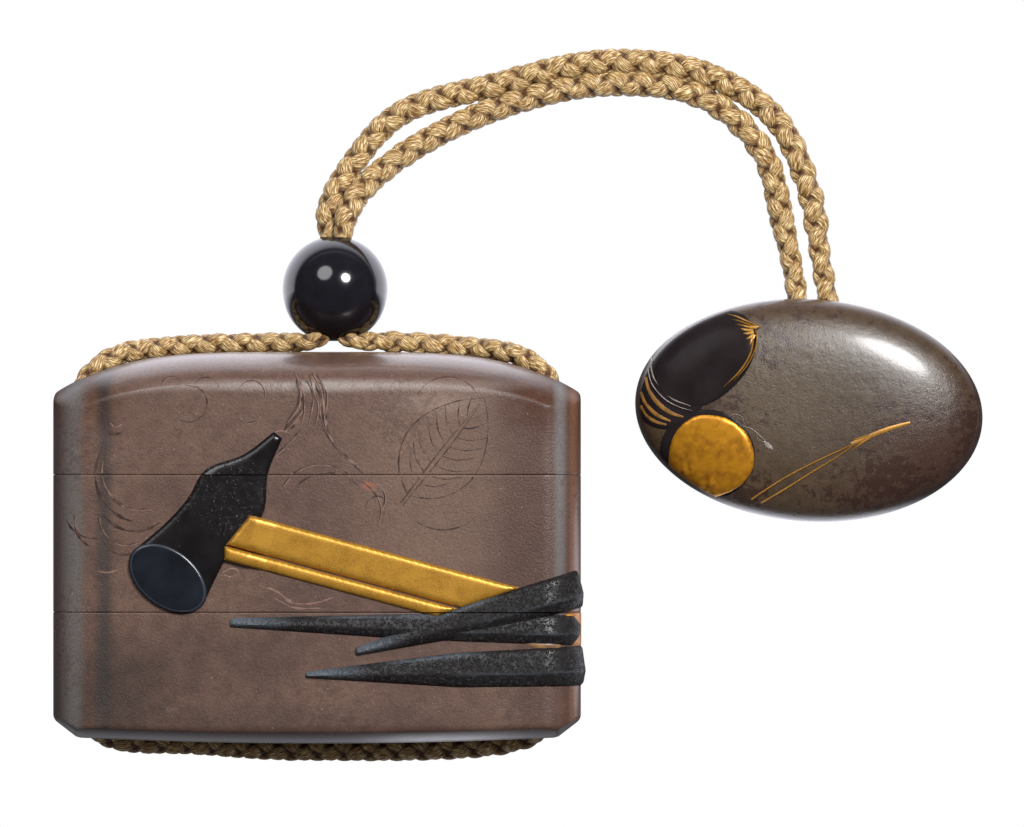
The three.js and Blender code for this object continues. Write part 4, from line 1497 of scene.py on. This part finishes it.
# ---- the case
@dataclass(frozen=True)
class CaseBody:
    """The lid, the middle compartment and the lower one, each hollow, with risers between them."""

    form: CaseForm
    route: CordRoute
    riser_height: float = 4.6
    riser_wall: float = 1.4
    gap: float = 0.3
    floor: float = 1.6
    end_wall: float = 2.3
    base_wall: float = 3.9
    socket: tuple[float, float, float] = (30.6, 9.1, 4.6)
    fillet: float = 0.016
    rings: int = 36

    def _ring(self, section: Array, y: Array | float) -> Array:
        """A ring of the section at a height or heights, turned so that a loft up Y faces out."""
        return np.column_stack([section[:, 0], np.broadcast_to(y, len(section)), section[:, 1]])[::-1]

    def _rounded(self, inset: float) -> Array:
        """The socket's section, drawn in by inset."""
        half_width, half_depth, corner = (size - inset for size in self.socket)
        points = []
        for quarter, (sx, sz) in enumerate(((1, 1), (-1, 1), (-1, -1), (1, -1))):
            for angle in np.linspace(0, math.pi / 2, 13) + quarter * math.pi / 2:
                points.append(
                    (
                        sx * (half_width - corner) + corner * math.cos(angle),
                        self.form.middle + sz * (half_depth - corner) + corner * math.sin(angle),
                    )
                )
        return np.array(points)

    def _capped(self, section: Array, flat_y: float, height: Callable, outer: bool) -> list[Array]:
        """Rings from a flat end, over a rounded rim, to the middle of a curved end.

        Args:
            section: the section's points.
            flat_y: height of the flat end.
            height: gives the curved end's height at X and Z.
            outer: whether the flat end gets the seam's small round.

        Returns:
            The rings, from the flat end on.
        """
        mid = np.array([0.0, self.form.middle])
        way = 1.0 if height(np.zeros(1), np.full(1, mid[1]))[0] > flat_y else -1.0

        def at(share: float) -> Array:
            """The curved end's ring at a share of the way out."""
            ring = mid + (section - mid) * share
            return self._ring(ring, height(ring[:, 0], ring[:, 1])[:])

        edge = self._ring(section, height(section[:, 0], section[:, 1]))
        rings = self._lip(flat_y, way) if outer else [self._ring(section, flat_y)]
        foot = edge.copy()
        foot[:, 1] -= way * 0.6
        start = rings[-1]
        for t in np.linspace(0, 1, 9)[1:-1]:
            rings.append(start + (foot - start) * t)
        first = at(1 - self.fillet)
        for t in np.linspace(0, 1, 6):
            rings.append((1 - t) ** 2 * foot + 2 * t * (1 - t) * edge + t * t * first)
        begin = math.asin(1 - self.fillet)
        for turn in np.linspace(begin, 0.02, self.rings)[1:]:
            rings.append(at(math.sin(turn)))
        return rings

    def _lip(self, y: float, way: float) -> list[Array]:
        """Rings of a seam's small round, from the seam at Y on, with the straight skin's first ring."""
        small = self.form.seam_round
        rings = [
            self._ring(self.form.section(small * (1 - math.sin(t))), y + way * small * (1 - math.cos(t)))
            for t in np.linspace(0, math.pi / 2, 4)
        ]
        return [*rings, self._ring(self.form.section(), y + way * 2 * small)]

    def _block(self, inset: float, low: float, high: float, name: str) -> Object:
        """A straight block on the socket's section."""
        section = self._rounded(inset)
        return make_object(name, *loft([self._ring(section, low), self._ring(section, high)]))

    def _channels(self) -> Object:
        """The clearance that the cord's run cuts."""
        return make_object("channels", *tube(self.route.past_case(), self.route.channel_radius, 24))

    def _finish(self, piece: Object, node: str, outside: Material, inside_finish: Material) -> Object:
        """Gives a piece its outer and inner finish and its place in the frame."""
        mesh = piece.data
        mesh.materials.clear()
        mesh.materials.append(outside)
        mesh.materials.append(inside_finish)
        half_width, half_depth, _ = self.socket
        for face in mesh.polygons:
            x, z = abs(face.center.x) / MM, abs(face.center.z / MM - self.form.middle)
            hidden = x < half_width + 0.1 and z < half_depth + 0.1
            buried = abs(face.normal.y) > 0.99 or abs(face.center.y / MM) < 21
            inner = hidden and (buried or z < half_depth - 1.5) and self._within(face, node)
            face.material_index = int(inner)
        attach(piece, BODY)
        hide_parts(node)
        return piece

    def _within(self, face: MeshPolygon, node: str) -> bool:
        """Whether a face lies below the lid's own skin and above the base's."""
        y = face.center.y / MM
        x, z = np.array([face.center.x / MM]), np.array([face.center.z / MM])
        if node == "lid":
            return bool(y < self.form.top_height(x, z)[0] - 1.0)
        return bool(y > self.form.bottom_height(x, z)[0] + 1.0)

    def build(self, outside: Material, inside_finish: Material) -> list[Object]:
        """Makes the three hollow pieces.

        Args:
            outside: the finish of the outer skin.
            inside_finish: the finish of the compartments and risers.

        Returns:
            The lid, the middle and the lower piece.
        """
        form, half_seam, half_gap = self.form, self.form.seam / 2, self.gap / 2
        skin = form.section()
        lid = make_object(
            "lid_shell", *loft(self._capped(skin, form.lid_seam + half_seam, form.top_height, outer=True))
        )
        hollow = self._capped(
            self._rounded(0), form.lid_seam - 1, lambda x, z: form.top_height(x, z) - self.end_wall,
            outer=False,
        )
        combine(lid, make_object("hollow", *loft(hollow)), Join.CUT)
        combine(lid, self._channels(), Join.CUT)

        low, high = form.lower_seam + half_seam, form.lid_seam - half_seam
        floor_y = form.lower_seam + half_gap + self.riser_height + self.gap
        riser_top = form.lid_seam - half_gap + self.riser_height
        middle = make_object("middle_shell", *loft(self._lip(low, 1.0) + self._lip(high, -1.0)[::-1]))
        combine(middle, self._block(0, low - 1, floor_y, "socket"), Join.CUT)
        combine(middle, self._block(self.gap, high - 1, riser_top, "riser"), Join.ADD)
        combine(
            middle, self._block(self.gap + self.riser_wall, floor_y + self.floor, riser_top + 1, "hollow"),
            Join.CUT,
        )
        combine(middle, self._channels(), Join.CUT)

        seat = form.lower_seam - half_seam
        riser_top = form.lower_seam - half_gap + self.riser_height
        rings = self._capped(skin, seat, form.bottom_height, outer=True)
        lower = make_object("lower_shell", *loft(rings[::-1]))
        combine(lower, self._block(self.gap, seat - 1, riser_top, "riser"), Join.ADD)
        combine(
            lower,
            self._block(self.gap + self.riser_wall, form.bottom + self.base_wall, riser_top + 1, "hollow"),
            Join.CUT,
        )
        combine(lower, self._channels(), Join.CUT)
        return [
            self._finish(piece, node, outside, inside_finish)
            for piece, node in ((lid, "lid"), (middle, "middle_case"), (lower, "lower_case"))
        ]


# ---- raised lacquer on the front
@dataclass(frozen=True)
class TongBar:
    """One tapered bar of the tongs, from its tip to its root."""

    tip: tuple[float, float]
    root: tuple[float, float]
    tip_half: float
    root_half: float
    tip_length: float


@dataclass(frozen=True)
class FrontRelief:
    """A cross-peen hammer and a pair of tongs in raised lacquer over the case's front."""

    form: CaseForm
    face_at: tuple[float, float] = (-20.8, -4.15)
    head_angle: float = 52.4
    head_length: float = 25.3
    face_half: float = 6.2
    face_short: float = 4.1
    waist_half: float = 4.6
    eye_half: float = 5.1
    peen_half: float = 0.75
    head_rise: float = 0.7
    handle_at: tuple[float, float] = (-12.32, 1.87)
    handle_angle: float = -15.1
    handle_upper: float = 41.5
    handle_lower: float = 31.0
    handle_width: float = 7.0
    groove: float = 0.71
    handle_rise: float = 0.55
    tong_rise: float = 0.32
    ridge_rise: float = 0.45
    side_end: float = 12.5
    bars: tuple[TongBar, ...] = (
        TongBar((-12.0, -10.4), (35.9, -11.5), 0.65, 2.1, 7.4),
        TongBar((-1.4, -17.7), (37.1, -16.5), 0.45, 2.8, 7.6),
        TongBar((5.6, -14.5), (37.1, -5.7), 0.55, 2.7, 6.2),
    )
    gold_edge: tuple[tuple[float, float], ...] = ((34.9, -9.3), (37.05, -8.9), (37.05, -13.8), (34.9, -13.4))
    tan_strip: tuple[tuple[float, float], ...] = ((28.6, -13.0), (34.3, -13.2), (34.3, -14.3), (30.2, -13.9))

    def _placed(self, local: Array, at: tuple[float, float], degrees: float) -> Array:
        """Turns and moves points given along a motif's own axis."""
        return local @ turning(degrees) + at

    def _on_face(self, outline: Array) -> Array:
        """Swaps X for the distance round the front."""
        dense = even_line(outline, 0.25, closed=True)
        return np.column_stack([self.form.run_of(dense[:, 0]), dense[:, 1]])

    def head_outline(self) -> Array:
        """The hammer's head from the striking face to the peen."""
        length = self.head_length
        side = smooth_line(
            [
                (0, self.face_half), (0.25 * length, self.waist_half + 0.3), (0.42 * length, self.waist_half),
                (0.6 * length, self.eye_half), (0.8 * length, 0.42 * self.eye_half), (length, self.peen_half),
            ],
            8,
        )
        return self._placed(np.vstack([side * [1, -1], side[::-1]]), self.face_at, self.head_angle)

    def _bands(self) -> list[tuple[str, float, float]]:
        """The three pieces' heights between the seams, with their names."""
        half = 2.5 * self.form.seam
        return [
            ("lid", self.form.lid_seam + half, self.form.top),
            ("middle", self.form.lower_seam + half, self.form.lid_seam - half),
            ("lower", self.form.bottom, self.form.lower_seam - half),
        ]

    def _raise(
        self, name: str, outline: Array, rise: float, edge: float, material: Material,
        height: Callable | None = None, spacing: float = 0.3,
    ) -> list[Object]:
        """Raises an outline, parted at the seams.

        Args:
            name: the motif's name.
            outline: its outline in distance round the front and height.
            rise: how far it stands up.
            edge: how far in it has risen fully.
            material: its finish.
            height: an added height.
            spacing: how far apart its points lie.

        Returns:
            One piece for each part of the case that it crosses.
        """
        made = []
        for band, low, high in self._bands():
            part = clip_between(outline, low, high)
            patch = RaisedPatch(
                f"{name}_{band}", part, self.form.face, rise, edge, height, spacing, whole=outline
            )
            piece = patch.build(material)
            if piece:
                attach(piece, BODY)
                made.append(piece)
        return made

    def build(
        self, black: Material, steel: Material, gold: Material, smooth: Material, tan: Material,
        worn: Material, orange: Material,
    ) -> list[Object]:
        """Lays the hammer, its handle and the tongs.

        Args:
            black: the rough iron-like lacquer.
            steel: the blue-grey lacquer of the striking face.
            gold: the handle's gold.
            smooth: the head's smooth black.
            tan: the duller gold seen behind the tongs.
            worn: the tongs' lighter, worn black.
            orange: the orange gold beside the tongs' end.

        Returns:
            All pieces.
        """
        pieces = []
        strips = [(-0.5, 0.5 - self.groove - 0.015), (0.5 - self.groove + 0.015, 0.5)]
        for number, (low, high) in enumerate(strips):
            longer = self.handle_upper - self.handle_lower
            ends = [self.handle_lower + longer * (at + 0.5) for at in (low, high)]
            strip = np.array(
                [
                    (self._cut_at(low), low * self.handle_width), (ends[0], low * self.handle_width),
                    (ends[1], high * self.handle_width), (self._cut_at(high), high * self.handle_width),
                    (self._cut_at(max(low, -0.25)), max(low, -0.25) * self.handle_width),
                ]
            )
            outline = self._on_face(self._placed(strip, self.handle_at, self.handle_angle))
            pieces += self._raise(
                f"handle_{number}", outline, self.handle_rise, 0.9, gold, self._seated
            )
        heads = self._raise(
            "hammer_head", self._on_face(self.head_outline()), self.head_rise, 1.7, smooth,
            self._forged(),
        )
        for head in heads:
            self._dab(head, black)
        pieces += heads
        face = Oval(*self.face_at, self.face_short, self.face_half, self.head_angle, 0.0).outline()
        faces = self._raise(
            "striking_face", self._on_face(face), self.head_rise + 0.16, 0.6, steel, spacing=0.17,
        )
        for piece in faces:
            where = np.array([v.co[:2] for v in piece.data.vertices]) / MM
            self._mark(piece, np.clip(1.2 - np.abs(distance_to(where, face) - 0.3) / 0.13, 0, 0.9))
        pieces += faces
        slips = (("gold_edge", self.gold_edge, orange), ("tan_strip", self.tan_strip, tan))
        for name, corners, finish in slips:
            outline = self._on_face(np.array(corners))
            pieces += self._raise(name, outline, 0.16, 0.4, finish, spacing=0.25)
        for number, bar in enumerate(self.bars):
            bars = self._raise(
                f"tong_{number}", self._bar_outline(bar), self.tong_rise + 0.12 * number, 1.2, worn,
                self._ridged(bar),
            )
            for piece in bars:
                self._fade_tip(piece, bar)
            pieces += bars
        return pieces

    def _along(self, x: Array, y: Array, at: tuple[float, float], degrees: float) -> Array:
        """How far points lie from a place along a direction."""
        lean = math.radians(degrees)
        return (x - at[0]) * math.cos(lean) + (y - at[1]) * math.sin(lean)

    def _seated(self, points: Array, far: Array) -> Array:
        """Added height where the handle lies over the head."""
        along = self._along(points[:, 0], points[:, 1], self.handle_at, self.handle_angle)
        return 0.62 * np.clip((6.0 - along) / 2.6, 0, 1)

    def _cut_at(self, across: float) -> float:
        """Where the handle starts, on its slanting cut along the head."""
        return float(np.interp(across, (-0.5, -0.25, 0.5), (0.37, -0.12, 2.2)))

    def _dabbed_share(self, x: Array, y: Array) -> Array:
        """How dabbed the head's skin is: fully in its middle, not at all near the face and the peen."""
        share = self._along(x, y, self.face_at, self.head_angle) / self.head_length
        return np.clip(np.minimum((share - 0.3) / 0.15, (0.84 - share) / 0.12), 0, 1)

    def _forged(self) -> Height:
        """The head's skin: uneven in its middle, smooth towards the face and the peen."""
        rough = roughened(1.2, 0.05, 1.0)

        def height(points: Array, far: Array) -> Array:
            """Height added at rows of points."""
            return rough(points, far) * (0.1 + 0.9 * self._dabbed_share(points[:, 0], points[:, 1]))

        return height

    def _dab(self, head: Object, black: Material) -> None:
        """Gives the middle of the head's skin the dabbed finish, with a broken border."""
        head.data.materials.append(black)
        for face in head.data.polygons:
            x, y = face.center.x / MM, face.center.y / MM
            chance = 0.5 + 0.8 * noise.noise(Vector((x / 0.9, y / 0.9, 4.0)))
            face.material_index = int(float(self._dabbed_share(x, y)) > chance)

    def _along_bar(self, bar: TongBar, points: Array) -> tuple[Array, Array]:
        """How far points lie along a bar, and how far across it as a share of its half width."""
        axis = np.array(bar.root) - bar.tip
        length = float(np.linalg.norm(axis))
        axis /= length
        along = (points - bar.tip) @ axis
        across = (points - bar.tip) @ [-axis[1], axis[0]]
        return along, across / np.interp(along, *self._taper(bar, length))

    def _taper(self, bar: TongBar, length: float) -> tuple[list[float], list[float]]:
        """A bar's stations from its tip and its half widths there."""
        return [0.0, 0.55 * length, length], [bar.tip_half, 0.86 * bar.root_half, bar.root_half]

    def _ridged(self, bar: TongBar) -> Height:
        """The bar's skin: two long facets that meet in a ridge below its middle, a little uneven."""
        rough = roughened(0.8, 0.03, 5.0 + bar.tip_half)

        def height(points: Array, far: Array) -> Array:
            """Height added at rows of points."""
            _, across = self._along_bar(bar, points)
            aside = across + 0.3
            share = 1 - np.abs(aside) / np.where(aside > 0, 1.3, 0.7)
            return self.ridge_rise * np.clip(share, 0, 1) + rough(points, far)

        return height

    def _fade_tip(self, piece: Object, bar: TongBar) -> None:
        """Marks how pale each point of a bar is: its tip, with painted shade and painted highlights."""
        where = np.array([v.co[:2] for v in piece.data.vertices]) / MM
        along, across = self._along_bar(bar, where)
        # the tip's own blue-grey, with painted shade: only 0.55 of it on the lower facet
        pale = np.clip(1.25 - along / bar.tip_length, 0, 1) * np.where(across > -0.3, 1.0, 0.55)
        length = math.dist(bar.tip, bar.root)
        # painted highlight: a pale line along the crease of the root half
        ridge = np.exp(-(((across + 0.3) / 0.05) ** 2)) * np.clip((along / length - 0.5) / 0.2, 0, 0.4)
        # painted highlight: a pale band along the upper edge, round the bar's middle
        rubbed = np.exp(-(((across - 0.86) / 0.13) ** 2)) * np.clip(
            1.6 - np.abs(along / length - 0.45) / 0.14, 0, 0.85,
        )
        self._mark(piece, np.maximum(pale, np.maximum(ridge, rubbed)))

    def _mark(self, piece: Object, pale: Array) -> None:
        """Gives a piece's points their share of the paler tone."""
        piece.data.attributes.new("paler", "FLOAT", "POINT").data.foreach_set(
            "value", pale.astype(np.float32),
        )

    def _bar_outline(self, bar: TongBar) -> Array:
        """A bar's outline in distance round the front and height, carried on round the side."""
        axis = np.array(bar.root) - bar.tip
        length = float(np.linalg.norm(axis))
        along, half = (np.array(values) for values in self._taper(bar, length))
        low, high = np.column_stack([along, -half]), np.column_stack([along, half])[::-1]
        ends = bar.root[0] < self.form.half_width - 0.5
        tail = np.array([(length + 0.9, 0.35 * bar.root_half), (length + 0.5, -0.5 * bar.root_half)])[::-1]
        local = np.vstack([low, tail, high]) if ends else np.vstack([low, high])
        outline = self._placed(local, bar.tip, math.degrees(math.atan2(axis[1], axis[0])))
        outline = self._on_face(np.minimum(outline, [self.form.half_width - 0.01, 99]))
        if not ends:
            side_run = self.form.run_of(np.array([self.form.half_width]))[0]
            edge = outline[:, 0] > side_run - 0.15
            outline[edge, 0] = side_run + (self.form.depth - self.form.corner_depth - self.side_end)
        return outline


@dataclass(frozen=True)
class WornDrawing:
    """Faint cut lines round the tools: a broad leaf, drifting strands, arcs, curls; painted highlights beside
    some.
    """

    form: CaseForm
    leaf_at: tuple[float, float] = (18.2, 14.2)
    leaf_length: float = 17.5
    leaf_half: float = 5.6
    leaf_angle: float = 52.0

    def _leaf(self) -> list[Stroke]:
        """The leaf: its edge, a double midrib and its side veins."""

        def placed(points: Sequence[Sequence[float]]) -> tuple:
            """Points turned and moved to the leaf's place."""
            return tuple(map(tuple, np.array(points) @ turning(self.leaf_angle) + self.leaf_at))

        length, half = self.leaf_length, self.leaf_half
        shares = np.linspace(0, 1, 9)
        edge = half * np.sin(math.pi * shares**0.85) ** 0.8
        strokes = [
            Stroke(placed([((t - 0.5) * length, way * e) for t, e in zip(shares, edge)]), 0.17, (0.5, 0.3))
            for way in (-1, 1)
        ]
        for off in (-0.22, 0.22):
            rib = placed([(-0.58 * length, off), (0.0, off * 1.6), (0.44 * length, off * 0.4)])
            strokes.append(Stroke(rib, 0.15, (0.6, 0.2)))
        for number, t in enumerate(np.linspace(0.14, 0.8, 8)):
            reach = half * math.sin(math.pi * (t + 0.1) ** 0.85) ** 0.8 * (0.78 + 0.06 * (number % 3))
            for way in (-1, 1):
                start = ((t - 0.5) * length, way * 0.35)
                end = ((t + 0.16 - 0.5) * length, way * reach)
                bend = ((t + 0.05 - 0.5) * length, way * reach * 0.55)
                strokes.append(Stroke(placed([start, bend, end]), 0.15, (0.9, 0.15)))
        return strokes

    def _strands(self) -> list[Stroke]:
        """Strands that hang from the top edge and part over the middle."""
        strokes = [
            Stroke(((-0.6, 24.6), (0.6, 22.0), (0.9, 19.2), (1.4, 16.4), (3.6, 13.0)), 0.8, (0.5, 0.3)),
            Stroke(((-3.2, 24.9), (-2.4, 22.6), (-2.5, 20.2), (-4.2, 17.6)), 0.7, (0.4, 0.3)),
            Stroke(((-2.0, 19.4), (-3.1, 17.9), (-4.6, 16.4)), 1.0, (0.3, 0.4)),
        ]
        for number in range(4):
            x = -3.0 + 1.0 * number
            sway = 0.5 * math.sin(2.3 * number)
            strokes.append(
                Stroke(
                    ((x, 24.4), (x + 1.1 + sway, 21.8), (x + 1.2, 19.4 - sway), (x + 0.8, 17.2)), 0.24,
                    (0.6, 0.2),
                ),
            )
        for x, y, way in ((1.8, 15.4, 1), (2.4, 14.6, 1), (-2.2, 16.6, -1)):
            strokes.append(
                Stroke(((x, y), (x + 2.2 * way, y - 2.3), (x + 4.4 * way, y - 4.3)), 0.2, (0.8, 0.2)),
            )
        return strokes

    def _arcs(self) -> list[Stroke]:
        """Loose arcs and curls left of the tools, over the lid and beside the handle."""
        strokes = []
        for x, y, reach, start, turn, width in (
            (-20.3, 22.6, 1.5, 20, 150, 0.12), (-15.4, 22.2, 1.8, 10, 140, 0.12),
            (-9.1, 21.6, 1.9, -20, 170, 0.14), (-17.9, 20.3, 2.6, 200, 260, 0.12),
            (-9.4, 19.2, 1.6, 200, 150, 0.12), (-28.2, 17.4, 1.4, 190, 150, 0.14),
            (0.6, 5.6, 6.2, 40, 110, 0.14), (1.6, 4.6, 6.0, 30, 120, 0.12), (4.6, 5.2, 4.4, -30, 120, 0.14),
            (17.8, 9.2, 6.6, 215, 100, 0.12), (18.4, 19.0, 5.0, 20, 130, 0.14),
            (-24.2, 10.4, 6.8, 150, 120, 0.15), (-24.6, 11.0, 5.6, 165, 120, 0.13),
            (-25.4, 7.8, 5.4, 190, 120, 0.15), (-26.6, 4.4, 3.9, 180, 110, 0.13),
            (-26.8, 2.4, 3.3, 200, 120, 0.12), (-29.4, 4.2, 4.6, 170, 70, 0.12),
            (-31.2, 5.6, 4.2, 200, 90, 0.12), (7.2, 7.0, 2.4, -60, 150, 0.12), (8.6, 5.6, 1.7, 20, 180, 0.12),
        ):
            angles = np.radians(start + np.linspace(0, turn, 7))
            strokes.append(
                Stroke(
                    tuple((x + reach * math.cos(a), y + reach * math.sin(a)) for a in angles),
                    (2.6 if x < -22 else 1.4) * width, (0.3, 0.3),
                )
            )
        return strokes

    def _pale(self) -> list[Stroke]:
        """Rubbed pinkish strokes beside the handle, a tick and a few scratches."""
        return [
            Stroke(((-8.2, -5.2), (-5.6, -6.0), (-3.4, -7.6), (-0.4, -7.7), (2.4, -6.9)), 0.3, (0.3, 0.3)),
            Stroke(
                ((-13.2, -3.4), (-11.8, -2.8), (-10.8, -3.4), (-11.8, -4.0), (-13.0, -3.7)), 0.16, (0.5, 0.5),
            ),
            Stroke(((-6.0, -6.9), (-3.2, -8.3), (0.6, -8.4)), 0.2, (0.3, 0.3)),
            Stroke(((-28.9, 17.6), (-28.1, 16.9), (-27.2, 17.4)), 0.26, (0.4, 0.4)),
            Stroke(((-0.6, 24.2), (0.6, 21.6), (0.7, 18.2), (2.0, 15.2), (3.9, 12.8)), 0.17, (0.5, 0.3)),
            Stroke(((-5.9, 16.2), (-4.9, 16.5), (-3.8, 16.2)), 0.22, (0.4, 0.3)),
            Stroke(((-30.8, -3.2), (-29.2, -3.4), (-27.8, -3.0)), 0.16, (0.4, 0.4)),
        ]

    def _lit_edges(self, strokes: Sequence[Stroke]) -> list[Stroke]:
        """A thin pale stroke beside each cut: a painted highlight where its edge catches the light."""
        return [
            Stroke(tuple((x + 0.13, y - 0.1) for x, y in stroke.points), 0.6 * stroke.width, (0.3, 0.3))
            for stroke in strokes
        ]

    def _parted(self, strokes: Sequence[Stroke]) -> dict[str, list[Stroke]]:
        """The strokes cut at the seams and changed to distance round the front, by piece."""
        half = self.form.seam / 2 + self.form.seam_round
        bands = {
            "lid": (self.form.lid_seam + half, self.form.top - 0.2),
            "middle": (self.form.lower_seam + half, self.form.lid_seam - half),
            "lower": (self.form.bottom + 0.2, self.form.lower_seam - half),
        }
        parted: dict[str, list[Stroke]] = {name: [] for name in bands}
        for stroke in strokes:
            line = even_line(smooth_line(stroke.points, 10), 0.35)
            for name, (low, high) in bands.items():
                within = (line[:, 1] > low) & (line[:, 1] < high)
                runs = np.split(np.arange(len(line)), np.flatnonzero(np.diff(within.astype(int))) + 1)
                for run in runs:
                    if within[run[0]] and len(run) > 3:
                        part = np.column_stack([self.form.run_of(line[run, 0]), line[run, 1]])
                        ends = (
                            stroke.ends[0] if run[0] == 0 else 1.0,
                            stroke.ends[1] if run[-1] == len(line) - 1 else 1.0,
                        )
                        parted[name].append(Stroke(tuple(map(tuple, part)), stroke.width, ends))
        return parted

    def build(self, dark: Material, pale: Material) -> list[Object]:
        """Makes the drawing, piece by piece.

        Args:
            dark: the finish of the dark cuts.
            pale: the finish of the rubbed strokes and of the painted highlights beside the cuts.

        Returns:
            One mesh for each finish and piece of the case.
        """
        made = []
        strands, arcs = self._strands(), self._arcs()
        for kind, strokes, finish in (
            ("cut", self._leaf() + strands + arcs, dark),
            # rubbed pink strokes, and painted highlights beside the strands and arcs
            ("rubbed", self._pale() + self._lit_edges(strands + arcs[::2]), pale),
        ):
            for band, parts in self._parted(strokes).items():
                if not parts:
                    continue
                work = StrokeWork(f"{kind}_{band}", parts, self.form.face, 0.02, sink=0.05, torn=0.6)
                piece = work.build(finish)
                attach(piece, BODY)
                made.append(piece)
        return made


def report(pieces: Sequence[Object]) -> None:
    """Says how large each piece is."""
    for piece in pieces:
        LOG.info("%s with %d faces", piece.name, len(piece.data.polygons))


def main() -> None:
    """Builds the object piece by piece and reports each."""
    logging.basicConfig(level=logging.INFO, format="%(name)s: %(message)s")
    form, route = CaseForm(), CordRoute()
    studio = Studio()
    studio.camera()
    silk = TwistedSilk().material()
    cord = BraidedCord(route)
    braid = cord.build(silk)
    report([braid])

    brown = BurnishedUrushi(
        "burnished_brown_urushi", "#453027", "#573f33", "#644b3e", "#33211a",
        clouds=(
            # painted light: lighter towards the upper right, where the key lamp's light is strongest
            Cloud(17, 11, 17, 16, "#6f5647", 0.5),
            Cloud(30, -2, 6.5, 70, "#43291f", 0.8),
            # darker at the lower left: a smudge in the lacquer, deepened by painted shade where the key
            # lamp's light falls off
            Cloud(-28, -21, 14, 12, "#281a14", 0.75),
            Cloud(-9, -16, 9, 6, "#33221a", 0.4),
            Cloud(-6, -25, 34, 4.5, "#35261f", 0.55),
            # painted sheen: a grey band down the left rounding
            Cloud(-34.4, 0.0, 2.5, 90, "#666361", 0.75),
            Cloud(-29.7, 0.0, 1.8, 90, "#241f1d", 0.75),
            # painted sheen: a pale grey band down the right rounding
            Cloud(34.2, 12, 1.2, 34, "#747474", 0.6),
            # painted highlight: the lid's top-edge highlight carried a little lower on the right
            Cloud(16.5, 20.4, 9, 2.6, "#8d776b", 0.5),
            Cloud(15, -1, 11, 6, "#6d5546", 0.4),
            Cloud(7.4, 8.8, 1.4, 0.8, "#8a5038", 0.75),
            Cloud(36.1, 0.0, 0.9, 90, "#75513f", 0.7),
            # painted highlight: a pale band along the lid's front top edge
            Cloud(2, 22.9, 30, 1.2, "#9a8e88", 0.5),
            # painted reflection: a thin pale lavender line along the bottom edge
            Cloud(16, -27, 20, 0.9, "#b9b1b9", 0.9),
        ),
        dulled=(Cloud(-34.5, 21.5, 11, 7, "#000000", 1), Cloud(35, 21.5, 11, 7, "#000000", 1)),
    ).material()
    inner = PolishedUrushi("dark_red_inner_urushi", "#2a1712", "#3a2018", roughness=0.2).material()
    black = PolishedUrushi(
        "polished_black_urushi", "#0c0b10", "#131119", cloud_mm=1.6, roughness=0.12, wave_depth_mm=0.02,
    ).material()
    rough = RoughBlackUrushi("iron_like_black_urushi").material()
    worn = RoughBlackUrushi(
        "worn_iron_like_urushi", "#110e0f", "#3b3633", fine_mm=0.18, depth_mm=0.15, roughness=0.38,
        specular=0.32, dab_from=0.5, dab_to=0.66,
    ).material()
    steel = PolishedUrushi(
        "blue_grey_urushi", "#0c0f15", "#151a23", roughness=0.24, specular=0.35, rim="#3a424d",
    ).material()
    gold = GoldPowderUrushi("burnished_gold_powder", "#bb8a30", "#95681f").material()
    olive = BurnishedUrushi(
        "polished_olive_urushi", "#37291c", "#463727", "#52412e", "#2a120c", roughness=0.33, coat=0.3,
        clouds=(
            Cloud(91, 12, 20, 15, "#3a241b", 0.8), Cloud(64, 22, 14, 10, "#554735", 0.45),
            Cloud(80, 7, 12, 5, "#35211a", 0.6), Cloud(76, 36, 22, 4, "#4a3022", 0.6),
        ),
        mottle_mm=1.6, grain_mm=0.2, grain_depth_mm=0.02, wave=4.0, spot_mm=1.2, spot_start=0.268,
        spot_edge=0.02, spot_amount=0.75, speck="#8f8278",
        stains=(Cloud(84, 16, 18, 14, "", 0.05), Cloud(58, 19.5, 9, 5, "", 0.035)),
    ).material()
    matt = PolishedUrushi("waxy_black_urushi", "#1d1819", "#272122", roughness=0.22, specular=0.03).material()
    nut_gold = GoldPowderUrushi(
        "rubbed_gold_powder", "#c4861a", "#9a6213", powder_mm=1.1, cloud_mm=3.6, grain_depth_mm=0.02,
    ).material()
    line_gold = GoldPowderUrushi("gold_line_powder", "#a97b31", "#7d5824", metallic=0.4).material()
    ochre = CutLine("ochre_powder_line", "#92642a", "#71501f").material()
    silver = CutLine("tarnished_silver_line", "#7c726b", "#a0958c").material()
    report(CaseBody(form, route).build(brown, inner))
    cut = CutLine("dark_worn_cut", "#2c1d18", "#4a352b").material()
    # for the rubbed pink strokes and the painted highlights beside the cuts
    rubbed = CutLine("pink_rubbed_and_lit_stroke", "#7f6358", "#6f564b").material()
    report(WornDrawing(form).build(cut, rubbed))
    smooth = PolishedUrushi(
        "satin_black_urushi", "#0d0b0c", "#161314", roughness=0.26, specular=0.24,
    ).material()
    tan = CutLine("tan_powder_line", "#8a6a45", "#6f5236").material()
    orange = CutLine("orange_gold_edge", "#bd7d33", "#97602a").material()
    report(FrontRelief(form).build(rough, steel, gold, smooth, tan, worn, orange))
    bead = Bead().build(cord.past_bead(), black)
    toggle = Toggle(route)
    egg = toggle.build(olive)
    report([bead, egg])
    report(toggle.ornament(matt, nut_gold, line_gold, ochre, silver))
    cord.declare()
    studio.table()
    studio.lights()


if __name__ == "__main__":
    main()
